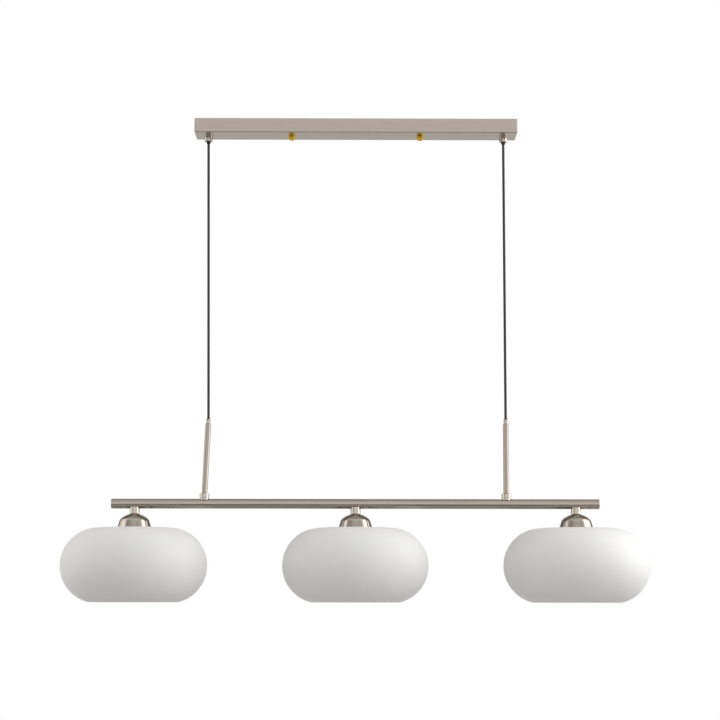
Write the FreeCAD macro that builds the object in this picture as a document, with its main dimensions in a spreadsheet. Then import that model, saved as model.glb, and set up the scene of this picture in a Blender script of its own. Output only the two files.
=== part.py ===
# Linear island pendant with three opal glass shades, in millimetres.
# The origin is on the ceiling, at the middle of the canopy: X runs along the canopy and the bar,
# +Y points away from the viewer and +Z points up, so the whole lamp hangs below zero.
import FreeCAD, Part
import math
import os
import re

import Sketcher
from FreeCAD import Rotation, Vector

SIZES = [
    ("canopy_length", 600, "ceiling canopy, left to right"),
    ("canopy_width", 60, "ceiling canopy, front to back"),
    ("canopy_height", 26.5, "ceiling canopy, ceiling to underside"),
    ("canopy_sheet", 1, "sheet thickness of the canopy"),
    ("canopy_bend", 1.5, "outside radius of the canopy's bent edges"),
    ("bracket_length", 270, "crossbar that is screwed to the ceiling"),
    ("bracket_width", 26, "width of the crossbar strip"),
    ("bracket_sheet", 2, "thickness of the crossbar strip"),
    ("bracket_raised", 190, "length of the crossbar that lies on the ceiling"),
    ("bracket_step", 4, "how far the crossbar's ends stand off the ceiling"),
    ("slot_spacing", 70, "distance between the middles of the two ceiling slots"),
    ("slot_width", 5.5, "width of a ceiling slot"),
    ("slot_length", 20, "length of a ceiling slot, end to end"),
    ("stud_spacing", 240, "distance between the two studs that carry the canopy"),
    ("stud_radius", 2, "M4 stud"),
    ("stud_hole_gap", 0.3, "radial play of a stud in its holes"),
    ("stud_reach", 5.5, "length of a stud below the canopy, inside its cap nut"),
    ("stud_head_radius", 4, "head of a stud, on the crossbar"),
    ("stud_head_height", 2.6, "height of that head"),
    ("stud_nut_flats", 7, "lock nut of a stud, across its flats"),
    ("stud_nut_height", 3.2, "height of a stud's lock nut"),
    ("cap_nut_radius", 6.8, "brass cap nut"),
    ("cap_nut_height", 9, "brass cap nut, canopy to the tip of its dome"),
    ("cap_nut_band", 2.9, "height of a cap nut's upper band"),
    ("cap_nut_groove", 0.5, "depth of the groove round a cap nut"),
    ("cap_nut_dome", 3.6, "height of a cap nut's domed end"),
    ("thread_gap", 0.06, "radial play between a thread and its nut"),
    ("cord_spacing", 551, "distance between the two cords at the canopy"),
    ("cord_radius", 2.4, "black cord"),
    ("cord_length", 520, "free cord, from the grip's face to the stem's ferrule"),
    ("cord_gap", 0.3, "radial play round the cord in the pieces that it passes"),
    ("grip_radius", 7.6, "nickel cord grip under the canopy"),
    ("grip_height", 11.5, "visible height of a cord grip"),
    ("grip_chamfer", 0.8, "bevel round the foot of a cord grip"),
    ("grip_shank_radius", 4.95, "M10 shank of a cord grip, through the canopy"),
    ("grip_shank_length", 9, "length of that shank above the canopy's underside"),
    ("grip_hole_gap", 0.15, "radial play of a grip's shank in the canopy"),
    ("lock_nut_flats", 14, "lock nut of a cord grip, across its flats"),
    ("lock_nut_height", 3, "height of a grip's lock nut"),
    ("set_screw_radius", 2, "M4 set screw that clamps the cord in its grip"),
    ("bush_wall", 1.8, "thickness of the rubber bush in the foot of a cord grip"),
    ("bush_drop", 4, "how far the bush tapers down below its grip"),
    ("bush_play", 0.4, "space round a bush, which tilts with the cord"),
    ("bush_cut", 0.4, "where a bush's back is cut off, as a share of its ball's radius"),
    ("bush_pocket", 3.6, "depth of the pocket that holds the bush"),
    ("stem_bush_wall", 0.65, "thickness of the rubber bush in the mouth of a stem"),
    ("stem_bush_rise", 1.5, "how far that bush stands out of the ferrule"),
    ("stem_bush_pocket", 3, "depth of the ferrule's pocket for it"),
    ("ferrule_wall", 0.55, "wall of the polished ferrule on top of a stem"),
    ("ferrule_height", 9, "visible height of a ferrule"),
    ("ferrule_spigot", 8, "length of a ferrule inside its stem"),
    ("ferrule_screw_radius", 1.5, "M3 set screw in a ferrule"),
    ("ferrule_screw_height", 3.4, "middle of that screw above the foot of the ferrule"),
    ("stem_radius", 5.25, "stem tube"),
    ("stem_wall", 1, "wall of the stem tube"),
    ("stem_length", 127.5, "stem tube, collar to ferrule"),
    ("stem_seat", 0.3, "space under a stem, which lets it lean in its collar"),
    ("stem_lean", 2.4, "degrees that the left stem leans inwards in its collar"),
    ("collar_radius", 8.8, "polished collar at the foot of a stem"),
    ("collar_height", 10, "collar, from the top of the bar to the stem"),
    ("collar_hem", 2, "how far a collar wraps down round the bar"),
    ("collar_round", 1, "rounding of a collar's upper edge"),
    ("collar_foot_height", 2.2, "turned-in foot of a collar, above the top of the bar"),
    ("collar_foot_step", 1.2, "how far that foot is turned in"),
    ("stem_nipple_gap", 0.7, "radial play of a stem's nipple in the collar and the bar"),
    ("stem_nipple_fit", 0.3, "radial play of the M8 threaded tube in its stem"),
    ("stem_nipple_room", 0.5, "space round the cord in that tube"),
    ("stem_nipple_grip", 8, "length of that tube inside its stem"),
    ("bar_radius", 9, "horizontal bar tube"),
    ("bar_wall", 1.2, "wall of the bar tube"),
    ("bar_length", 890, "bar with its two end caps"),
    ("end_cap_sheet", 2, "visible thickness of an end cap"),
    ("end_cap_spigot", 8, "length of an end cap inside the bar"),
    ("end_cap_gap", 0.05, "radial play of that spigot"),
    ("end_cap_wall", 1.45, "wall of that spigot"),
    ("head_spacing", 402.5, "distance between two neighbouring shades"),
    ("neck_radius", 9.1, "polished neck between the bar and a dome"),
    ("neck_height", 9, "neck, from the bottom of the bar to the dome"),
    ("neck_hem", 3, "how far a neck wraps up round the bar"),
    ("nipple_radius", 4.9, "M10 threaded tube that joins a lampholder to the bar"),
    ("nipple_bore", 3.4, "bore of that tube, for the wires"),
    ("nipple_gap", 0.2, "radial play of that tube in the bar, the neck and the dome"),
    ("saddle_nut_radius", 6.8, "nut inside the bar, rounded to fit the tube"),
    ("saddle_nut_height", 3.6, "height of that nut at its middle"),
    ("saddle_gap", 0.1, "space between the tube and what is shaped to it"),
    ("dome_radius", 31.6, "satin dome cup on a shade, at its rim"),
    ("dome_height", 28.3, "dome cup, rim to crown"),
    ("dome_crown_radius", 36, "curve of the dome over its crown"),
    ("dome_bend_radius", 12, "bend between the dome's crown and its skirt"),
    ("dome_lean", 17, "degrees that the dome's straight skirt leans inwards"),
    ("dome_sheet", 1, "sheet thickness of the dome cup"),
    ("holder_radius", 19.6, "threaded body of the lampholder"),
    ("holder_drop", 24, "length of the lampholder below the top of the glass"),
    ("holder_shoulder", 15.5, "height of the lampholder's shoulder above the glass"),
    ("holder_boss", 8, "radius of the lampholder's top boss"),
    ("holder_floor", 9, "height of the contact floor above the top of the glass"),
    ("holder_wire_radius", 3, "hole for the wires in that floor"),
    ("holder_ledge", 1, "ledge under the lampholder's shoulder that stops the threaded tube"),
    ("dome_gap", 0.1, "space between the lampholder's boss and the dome"),
    ("shell_gap", 0.05, "radial play of the socket shell in the lampholder"),
    ("shell_drop", 3.5, "contact floor to the top of the socket shell"),
    ("contact_sheet", 0.8, "thickness of the spring contact"),
    ("contact_gap", 0.3, "space between that contact and the lamp"),
    ("socket_radius", 13.35, "inside of the threaded socket shell, E27"),
    ("socket_sheet", 0.5, "sheet thickness of the socket shell"),
    ("socket_length", 25, "length of the socket shell"),
    ("lamp_gap", 0.08, "radial play of the lamp's cap in the socket"),
    ("lamp_tip_gap", 3, "contact floor to the tip of the lamp"),
    ("lamp_tip_radius", 4, "contact button of the lamp"),
    ("lamp_tip_height", 1.2, "height of that button"),
    ("lamp_tip_flare", 0.6, "how much wider that button is at its foot"),
    ("lamp_shoulder_width", 1.6, "slope of the screw cap's shoulder, across"),
    ("lamp_shoulder_height", 2, "slope of the screw cap's shoulder, along"),
    ("lamp_seal_height", 1.8, "slope from the contact button to that shoulder"),
    ("lamp_cap_length", 24, "lamp, contact to the end of its screw cap"),
    ("lamp_cap_sheet", 0.5, "sheet thickness of the lamp's screw cap"),
    ("globe_radius", 30, "opal lamp, A60 size"),
    ("globe_length", 110, "lamp, contact to the end of its globe"),
    ("globe_glass", 1, "wall of the lamp's globe"),
    ("globe_shoulder", 40, "degrees above the equator where the globe meets its throat"),
    ("globe_throat_gap", 1.6, "how much narrower than the socket the globe's throat is"),
    ("globe_throat_seat", 8, "length of that throat inside the screw cap"),
    ("shade_diameter", 266, "opal glass shade, over its widest part"),
    ("shade_height", 134.2, "opal glass shade, crown to rim"),
    ("shade_side_radius", 68, "bulge of the shade's side"),
    ("shade_glass", 3.6, "wall of the glass shade"),
    ("shade_dip", 1.8, "depth of the flat seat in the middle of the shade's top"),
    ("shade_seat_margin", 1.4, "width of that seat outside the dome's rim"),
    ("shade_hole_gap", 1, "space round the lampholder in the shade's hole"),
    ("ring_wall", 3.9, "wall of the threaded ring that holds the shade up"),
    ("ring_lip", 3.5, "how far that ring's flange stands out"),
    ("ring_flange", 2.5, "thickness of that flange"),
    ("ring_height", 7.7, "height of that ring"),
    ("ring_gap", 0.2, "space between the ring and the glass"),
    ("ring_thread_gap", 0.06, "radial play of the ring on the lampholder"),
    ("block_length", 32, "terminal block, left to right"),
    ("block_width", 22, "terminal block, front to back"),
    ("block_height", 13, "terminal block, from the crossbar down"),
    ("block_pitch", 7, "distance between two poles of the terminal block"),
    ("block_hole_radius", 1.7, "wire and screw holes of the terminal block"),
    ("block_screw_offset", 9, "terminal screws, from the middle of the block"),
    ("block_screw_head", 3, "head of the screw that fixes the block"),
    ("earth_screw_length", 6, "earth screw, ceiling to its tip"),
    ("earth_head_height", 2.8, "head of the earth screw"),
    ("stop_length", 10, "crimped stop on the end of the right cord"),
    ("stop_wall", 0.8, "wall of that stop"),
    ("wire_radius", 0.9, "core of the cord, with its insulation"),
    ("bundle_radius", 2.2, "bundle of wires along the inside of the bar"),
    ("drop_radius", 1.6, "pair of wires that goes down into a lampholder"),
]
NAMES = {name for name, _, _ in SIZES}

# Heights of the main levels, and the places of the cords, stems and shades, as formulas of the sizes
SWING_AXIS = "(-canopy_height - grip_height)"
STEM_TIP = f"({SWING_AXIS} - cord_length)"
STEM_FOOT = f"({STEM_TIP} - ferrule_height - stem_length)"
BAR_AXIS = f"({STEM_FOOT} - collar_height - bar_radius)"
NIPPLE_HOLE = "(nipple_radius + nipple_gap)"
NECK_FOOT = f"(dome_height - dome_crown_radius + sqrt(dome_crown_radius^2 - {NIPPLE_HOLE}^2))"
BAR_OVER_SEAT = f"({NECK_FOOT} + neck_height + bar_radius)"
SEAT = f"({BAR_AXIS} - {BAR_OVER_SEAT})"
LEAN_ARM = "(ferrule_height + stem_length)"
LEFT_TIP_X = f"(-cord_spacing / 2 + {LEAN_ARM} * sin(stem_lean * 1deg))"
LEFT_TIP_Z = f"({STEM_FOOT} + {LEAN_ARM} * cos(stem_lean * 1deg))"
CORD_TILT = (
    f"(atan(({LEFT_TIP_X} + cord_spacing / 2) / ({SWING_AXIS} - {LEFT_TIP_Z})) / 1deg)"
)
# What fits round the cord, in a stem, on a lampholder, in its socket and under a dome
BUSH = "(cord_radius + bush_wall)"
STEM_BUSH = "(cord_radius + stem_bush_wall)"
FERRULE = f"({STEM_BUSH} + cord_gap + ferrule_wall)"
STEM_NIPPLE = "(stem_radius - stem_wall - stem_nipple_fit)"
RING_HUB = "(holder_radius + ring_wall)"
LAMP_TIP = "(holder_floor - lamp_tip_gap)"
CAP_FOOT = f"({LAMP_TIP} - lamp_cap_length)"
SHADE_SEAT = "(dome_radius + shade_seat_margin)"
SIDES = {"left": -1, "right": 1}
HEADS = {"left": -1, "middle": 0, "right": 1}

doc = FreeCAD.newDocument("LinearIslandPendant")
sheet = doc.addObject("Spreadsheet::Sheet", "Sizes")
nodes = []


def fill_sheet():
    """Write every driving size into the sheet, with its name and what it is."""
    for row, (name, size, meaning) in enumerate(SIZES, start=1):
        sheet.set(f"A{row}", meaning)
        sheet.set(f"B{row}", str(size))
        sheet.setAlias(f"B{row}", name)
    doc.recompute()


def formula(text):
    """Turn the bare names of sizes in a formula into references to the sheet."""
    return re.sub(
        r"[a-z_]+", lambda word: f"Sizes.{word[0]}" if word[0] in NAMES else word[0], str(text)
    )


def number(text):
    """Work out a formula from the sheet as it stands."""
    found = sheet.evalExpression(formula(text))
    return float(getattr(found, "Value", found))


def keep(piece, label):
    """Name a finished sub-part and list it for export."""
    piece.Label = label
    nodes.append(piece)
    return piece


def place(piece, x=0, y=0, z=0, axis=None, angle=0):
    """Put a piece where the formulas say, turned about an axis through its own origin."""
    if axis is not None:
        piece.Placement.Rotation = Rotation(axis, number(angle))
        if not isinstance(angle, (int, float)):
            piece.setExpression("Placement.Rotation.Angle", formula(angle))
    for direction, where in (("x", x), ("y", y), ("z", z)):
        piece.setExpression(f"Placement.Base.{direction}", formula(where))
    return piece


def new_sketch(body, plane, height=0):
    """Start a sketch on one of the body's own origin planes, or parallel to it at a height."""
    sketch = body.newObject("Sketcher::SketchObject", body.Name + "_sketch")
    planes = [p for p in body.Origin.OriginFeatures if p.Role == plane]
    sketch.AttachmentSupport = [(planes[0], "")]
    sketch.MapMode = "FlatFace"
    if height != 0:
        sketch.setExpression("AttachmentOffset.Base.z", formula(height))
    return sketch


def bind(sketch, kind, name, places, text):
    """Add one dimension to a sketch and bind it to a formula."""
    index = sketch.addConstraint(Sketcher.Constraint(kind, *places, number(text)))
    sketch.renameConstraint(index, name)
    if not isinstance(text, (int, float)):
        sketch.setExpression(f"Constraints.{name}", formula(text))


def draw_outline(sketch, outline):
    """Draw a closed outline. A corner is (x, y), and (x, y, radius, side) ends an arc.

    The side is "left" or "right", where the arc's centre lies as the outline is followed."""
    corners = [Vector(number(c[0]), number(c[1]), 0) for c in outline]
    ends = []
    for i, corner in enumerate(outline):
        start, end = corners[i - 1], corners[i]
        if len(corner) == 2:
            edge = sketch.addGeometry(Part.LineSegment(start, end))
            ends.append((edge, 1, 2))
            continue
        radius, left = number(corner[2]), corner[3] == "left"
        chord = end - start
        reach = math.sqrt(radius**2 - (chord.Length / 2) ** 2)
        across = Vector(-chord.y, chord.x, 0).normalize() * (reach if left else -reach)
        centre = (start + end) / 2 + across
        first, last = (start, end) if left else (end, start)
        angles = [math.atan2(p.y - centre.y, p.x - centre.x) for p in (first, last)]
        circle = Part.Circle(centre, Vector(0, 0, 1), radius)
        edge = sketch.addGeometry(Part.ArcOfCircle(circle, *angles))
        ends.append((edge, 1, 2) if left else (edge, 2, 1))
    for i, (edge, start, _) in enumerate(ends):
        before, _, before_end = ends[i - 1]
        sketch.addConstraint(Sketcher.Constraint("Coincident", before, before_end, edge, start))
    for i, (corner, (edge, _, end)) in enumerate(zip(outline, ends)):
        bind(sketch, "DistanceX", f"across{i}", (-1, 1, edge, end), corner[0])
        bind(sketch, "DistanceY", f"up{i}", (-1, 1, edge, end), corner[1])
        if len(corner) > 2:
            bind(sketch, "Radius", f"bend{i}", (edge,), corner[2])


def draw_circles(sketch, circles):
    """Draw circles, each given as (x, y, radius)."""
    for i, (x, y, radius) in enumerate(circles):
        circle = Part.Circle(Vector(number(x), number(y), 0), Vector(0, 0, 1), number(radius))
        edge = sketch.addGeometry(circle)
        bind(sketch, "DistanceX", f"across{i}", (-1, 1, edge, 3), x)
        bind(sketch, "DistanceY", f"up{i}", (-1, 1, edge, 3), y)
        bind(sketch, "Radius", f"round{i}", (edge,), radius)


def new_body(name):
    return doc.addObject("PartDesign::Body", name)


def pad(body, sketch, length, midplane=False, reverse=False):
    feature = body.newObject("PartDesign::Pad", body.Name + "_pad")
    feature.Profile = sketch
    feature.setExpression("Length", formula(length))
    feature.Midplane = midplane
    feature.Reversed = reverse
    doc.recompute()
    return feature


def cut(body, sketch, length=None, reverse=False):
    """Pocket a sketch to a depth on one side of it, or right through the body."""
    feature = body.newObject("PartDesign::Pocket", body.Name + "_cut")
    feature.Profile = sketch
    if length is None:
        feature.Type = "ThroughAll"
        feature.Midplane = True
    else:
        feature.setExpression("Length", formula(length))
        feature.Reversed = reverse
    before = feature.BaseFeature.Shape.Volume
    doc.recompute()
    if feature.Shape.isNull() or feature.Shape.Volume >= before:
        raise RuntimeError(f"{feature.Name} cuts nothing")
    return feature


def turned(name, outline):
    """Turn an outline of (radius, height) corners about the vertical axis."""
    body = new_body(name)
    sketch = new_sketch(body, "XZ_Plane")
    draw_outline(sketch, outline)
    spin = body.newObject("PartDesign::Revolution", name + "_turn")
    spin.Profile = sketch
    spin.ReferenceAxis = (sketch, ["V_Axis"])
    spin.Angle = 360
    doc.recompute()
    return body


def tube_outline(inner, outer, bottom, top):
    return [(inner, bottom), (outer, bottom), (outer, top), (inner, top)]


def rod_outline(radius, bottom, top):
    return [(0, bottom), (radius, bottom), (radius, top), (0, top)]


def group(label, pieces):
    """Join identical loose pieces into one sub-part of separate solids."""
    together = doc.addObject("Part::Compound", label)
    together.Links = pieces
    return keep(together, label)


def hex_nut(name, flats, height, bore):
    """A six-sided nut that stands on its own origin plane, with a plain round bore."""
    block = doc.addObject("Part::Prism", name + "_block")
    block.Polygon = 6
    block.setExpression("Circumradius", formula(f"({flats}) / 2 / cos(30deg)"))
    block.setExpression("Height", formula(height))
    hole = doc.addObject("Part::Cylinder", name + "_hole")
    hole.setExpression("Radius", formula(bore))
    hole.setExpression("Height", formula(height))
    nut = doc.addObject("Part::Cut", name)
    nut.Base = block
    nut.Tool = hole
    return nut


def route_tube(name, points, radius):
    """A tube along straight runs joined by tangent arcs, each as large as its runs allow."""
    edges = []
    start = points[0]
    length = 0.0
    tightest = math.inf
    for i in range(1, len(points) - 1):
        into = (points[i] - points[i - 1]).normalize()
        out = (points[i + 1] - points[i]).normalize()
        runs = [(points[i] - points[i - 1]).Length, (points[i + 1] - points[i]).Length]
        setback = 0.45 * min(runs)
        half_turn = into.getAngle(out) / 2
        tightest = min(tightest, setback / math.tan(half_turn))
        arc_start, arc_end = points[i] - into * setback, points[i] + out * setback
        bulge = (out - into).normalize()
        arc_radius = setback / math.tan(half_turn)
        middle = points[i] + bulge * (arc_radius / math.cos(half_turn) - arc_radius)
        edges.append(Part.LineSegment(start, arc_start).toShape())
        edges.append(Part.Arc(arc_start, middle, arc_end).toShape())
        length += (arc_start - start).Length + 2 * half_turn * arc_radius
        start = arc_end
    edges.append(Part.LineSegment(start, points[-1]).toShape())
    length += (points[-1] - start).Length
    ring = Part.Circle(points[0], points[1] - points[0], radius).toShape()
    tube = Part.Wire(edges).makePipeShell([Part.Wire(ring)], True, False)
    expected = math.pi * radius**2 * length
    print(f"{name}: {length:.0f} mm long, tightest bend {tightest:.0f} mm,"
          f" volume {tube.Volume / expected:.4f} of its section times its length")
    feature = doc.addObject("Part::Feature", name)
    feature.Shape = tube
    return feature


# The ceiling side: crossbar, studs, canopy and what is inside it


def make_bracket():
    """A steel strip that lies on the ceiling and steps down at both ends, with slots and holes."""
    body = new_body("mounting_bracket")
    end, flat = "bracket_length / 2", "bracket_raised / 2"
    fold = f"({flat} + bracket_step)"
    shift = "0.4 * bracket_sheet"
    right = [(flat, 0), (fold, "-bracket_step"), (end, "-bracket_step"),
             (end, "-bracket_step - bracket_sheet"),
             (f"{fold} - {shift}", "-bracket_step - bracket_sheet"),
             (f"{flat} - {shift}", "-bracket_sheet")]
    left = [(f"-({x})", z) for x, z in reversed(right)]
    side = new_sketch(body, "XZ_Plane")
    draw_outline(side, right + left)
    pad(body, side, "bracket_width", midplane=True)
    holes = new_sketch(body, "XY_Plane")
    studs = [(f"{side} * stud_spacing / 2", 0, "stud_radius + stud_hole_gap") for side in (-1, 1)]
    draw_circles(holes, studs + [(0, "block_pitch / 2", "block_hole_radius"),
                                 ("slot_spacing", "bracket_width / 4", "stud_radius")])
    cut(body, holes)
    for side in (-1, 1):
        slot = new_sketch(body, "XY_Plane")
        middle, round_end = f"{side} * slot_spacing / 2", "slot_width / 2"
        near = f"{middle} - slot_length / 2"
        far = f"{middle} + slot_length / 2"
        draw_outline(slot, [
            (near, 0, round_end, "right"), (f"{near} + {round_end}", round_end, round_end, "right"),
            (f"{far} - {round_end}", round_end), (far, 0, round_end, "right"),
            (f"{far} - {round_end}", f"-{round_end}", round_end, "right"),
            (f"{near} + {round_end}", f"-{round_end}")])
        cut(body, slot)
    return keep(body, "mounting_bracket")


def make_studs():
    """Two M4 screws, heads on the crossbar, that hang down through the canopy."""
    studs, nuts = [], []
    end = "-canopy_height - stud_reach"
    bevel, head_bevel = 0.5, 0.8
    head_top = "(stud_head_height - bracket_step)"
    for side, sign in SIDES.items():
        stud = turned(f"stud_{side}", [
            (0, end), (f"stud_radius - {bevel}", end), ("stud_radius", f"{end} + {bevel}"),
            ("stud_radius", "-bracket_step"), ("stud_head_radius", "-bracket_step"),
            ("stud_head_radius", f"{head_top} - {head_bevel}"),
            (f"stud_head_radius - {head_bevel}", head_top), (0, head_top)])
        studs.append(place(stud, x=f"{sign} * stud_spacing / 2"))
        nut = hex_nut(f"stud_nut_{side}", "stud_nut_flats", "stud_nut_height",
                      "stud_radius + thread_gap")
        nuts.append(place(nut, x=f"{sign} * stud_spacing / 2",
                          z="-bracket_step - bracket_sheet - stud_nut_height"))
    group("bracket_studs", studs)
    group("stud_nuts", nuts)


def make_canopy():
    """A shallow sheet-metal tray, open towards the ceiling."""
    body = new_body("canopy")
    outside = new_sketch(body, "XY_Plane")
    x, y = "canopy_length / 2", "canopy_width / 2"
    draw_outline(outside, [(x, y), (f"-{x}", y), (f"-{x}", f"-{y}"), (x, f"-{y}")])
    block = pad(body, outside, "canopy_height", reverse=True)
    bent = body.newObject("PartDesign::Fillet", "canopy_bends")
    below_rim = [f"Edge{i}" for i, edge in enumerate(block.Shape.Edges, start=1)
                 if edge.BoundBox.ZMin < -0.5]
    bent.Base = (block, below_rim)
    bent.setExpression("Radius", formula("canopy_bend"))
    doc.recompute()
    inside = new_sketch(body, "XY_Plane")
    x, y = f"({x} - canopy_sheet)", f"({y} - canopy_sheet)"
    draw_outline(inside, [(x, y), (f"-{x}", y), (f"-{x}", f"-{y}"), (x, f"-{y}")])
    cut(body, inside, "canopy_height - canopy_sheet")
    holes = new_sketch(body, "XY_Plane")
    draw_circles(holes, [(f"{s} * stud_spacing / 2", 0, "stud_radius + stud_hole_gap")
                         for s in (-1, 1)]
                 + [(f"{s} * cord_spacing / 2", 0, "grip_shank_radius + grip_hole_gap")
                    for s in (-1, 1)])
    cut(body, holes)
    return keep(body, "canopy")


def make_cap_nuts():
    """Two brass domed nuts that hold the canopy up on its studs."""
    r, groove = "cap_nut_radius", "cap_nut_groove"
    bore = "(stud_radius + thread_gap)"
    bevel, over_stud = 0.4, 0.6
    dome_radius = f"({r}^2 + cap_nut_dome^2) / 2 / cap_nut_dome"
    for side, sign in SIDES.items():
        nut = turned(f"cap_nut_{side}", [
            (bore, 0), (f"{r} - {bevel}", 0), (r, -bevel), (r, "-cap_nut_band"),
            (f"{r} - {groove}", f"-cap_nut_band - {groove}"),
            (r, f"-cap_nut_band - 2 * {groove}"), (r, "cap_nut_dome - cap_nut_height"),
            (0, "-cap_nut_height", dome_radius, "right"),
            (0, f"-stud_reach - {over_stud}"), (bore, f"-stud_reach - {over_stud / 2}")])
        place(nut, x=f"{sign} * stud_spacing / 2", z="-canopy_height")
        keep(nut, f"cap_nut_{side}")


def make_grips():
    """Cord grips with an M10 shank, their lock nuts, and the set screws that clamp the cord."""
    foot = "-grip_height"
    bore = "(cord_radius + cord_gap)"
    pocket = f"({BUSH} + bush_play)"
    middle = "-grip_height / 2"
    bevel = 0.6
    screw_end, socket_floor = "(grip_radius - 0.4)", "(grip_radius - 1.6)"
    nuts, screws = [], []
    for side, sign in SIDES.items():
        grip = turned(f"grip_{side}", [
            (bore, f"{foot} + bush_pocket"), (pocket, f"{foot} + bush_pocket"), (pocket, foot),
            ("grip_radius - grip_chamfer", foot), ("grip_radius", f"{foot} + grip_chamfer"),
            ("grip_radius", 0), ("grip_shank_radius", 0),
            ("grip_shank_radius", "grip_shank_length"), (bore, "grip_shank_length")])
        hole = new_sketch(grip, "XZ_Plane")
        draw_circles(hole, [(0, middle, "set_screw_radius + thread_gap")])
        cut(grip, hole, "grip_radius + 1")
        place(grip, x=f"{sign} * cord_spacing / 2", z="-canopy_height")
        keep(grip, f"grip_{side}")
        nut = hex_nut(f"lock_nut_{side}", "lock_nut_flats", "lock_nut_height",
                      "grip_shank_radius + thread_gap")
        nuts.append(place(nut, x=f"{sign} * cord_spacing / 2", z="-canopy_height + canopy_sheet"))
        screw = turned(f"grip_screw_{side}", [
            (0, bore), (f"set_screw_radius - {bevel}", bore),
            ("set_screw_radius", f"{bore} + {bevel}"), ("set_screw_radius", screw_end),
            ("set_screw_radius / 2", screw_end), ("set_screw_radius / 2", socket_floor),
            (0, socket_floor)])
        screws.append(place(screw, x=f"{sign} * cord_spacing / 2",
                            z=f"-canopy_height + ({middle})", axis=Vector(1, 0, 0), angle=-90))
    group("grip_lock_nuts", nuts)
    group("grip_set_screws", screws)


def make_terminal_block():
    """A three-pole terminal block under the crossbar, with its screws and the earth screw."""
    body = new_body("terminal_block")
    plan = new_sketch(body, "XY_Plane", "-bracket_sheet")
    x, y = "block_length / 2", "block_width / 2"
    draw_outline(plan, [(x, y), (f"-{x}", y), (f"-{x}", f"-{y}"), (x, f"-{y}")])
    pad(body, plan, "block_height", reverse=True)
    poles = [f"{i} * block_pitch" for i in (-1, 0, 1)]
    wires = "(-bracket_sheet - block_height / 2)"
    along = new_sketch(body, "YZ_Plane")
    draw_circles(along, [(pole, wires, "block_hole_radius") for pole in poles])
    cut(body, along)
    below = new_sketch(body, "XY_Plane", wires)
    draw_circles(below, [(f"{side} * block_screw_offset", pole, "block_hole_radius")
                         for side in (-1, 1) for pole in poles])
    cut(body, below, "block_height")
    fixing = new_sketch(body, "XY_Plane")
    draw_circles(fixing, [(0, "block_pitch / 2", "block_hole_radius")])
    cut(body, fixing)
    keep(body, "terminal_block")

    under = "(-bracket_sheet - block_height)"
    play, fixing_head = 0.1, 1.6
    shank = f"block_hole_radius - {play}"
    screws = []
    for side in (-1, 1):
        for pole in (-1, 0, 1):
            screw = turned(f"terminal_screw_{pole + 2}_{'a' if side < 0 else 'b'}", rod_outline(
                shank, f"{under} + 0.5", f"{wires} - wire_radius - 3 * {play}"))
            screws.append(place(screw, x=f"{side} * block_screw_offset",
                                y=f"{pole} * block_pitch"))
    fixing_screw = turned("block_screw", [
        (0, f"{under} - {fixing_head}"), ("block_screw_head", f"{under} - {fixing_head}"),
        ("block_screw_head", under), (shank, under), (shank, -2 * play), (0, -2 * play)])
    screws.append(place(fixing_screw, y="block_pitch / 2"))
    thread, head = f"stud_radius - {play}", "-bracket_sheet - earth_head_height"
    earth_screw = turned("earth_screw", [
        (0, "-earth_screw_length"), (thread, "-earth_screw_length"), (thread, head),
        ("stud_head_radius", head), ("stud_head_radius", "-bracket_sheet"),
        (thread, "-bracket_sheet"), (thread, -3 * play), (0, -3 * play)])
    screws.append(place(earth_screw, x="slot_spacing", y="bracket_width / 4"))
    group("wiring_screws", screws)


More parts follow.
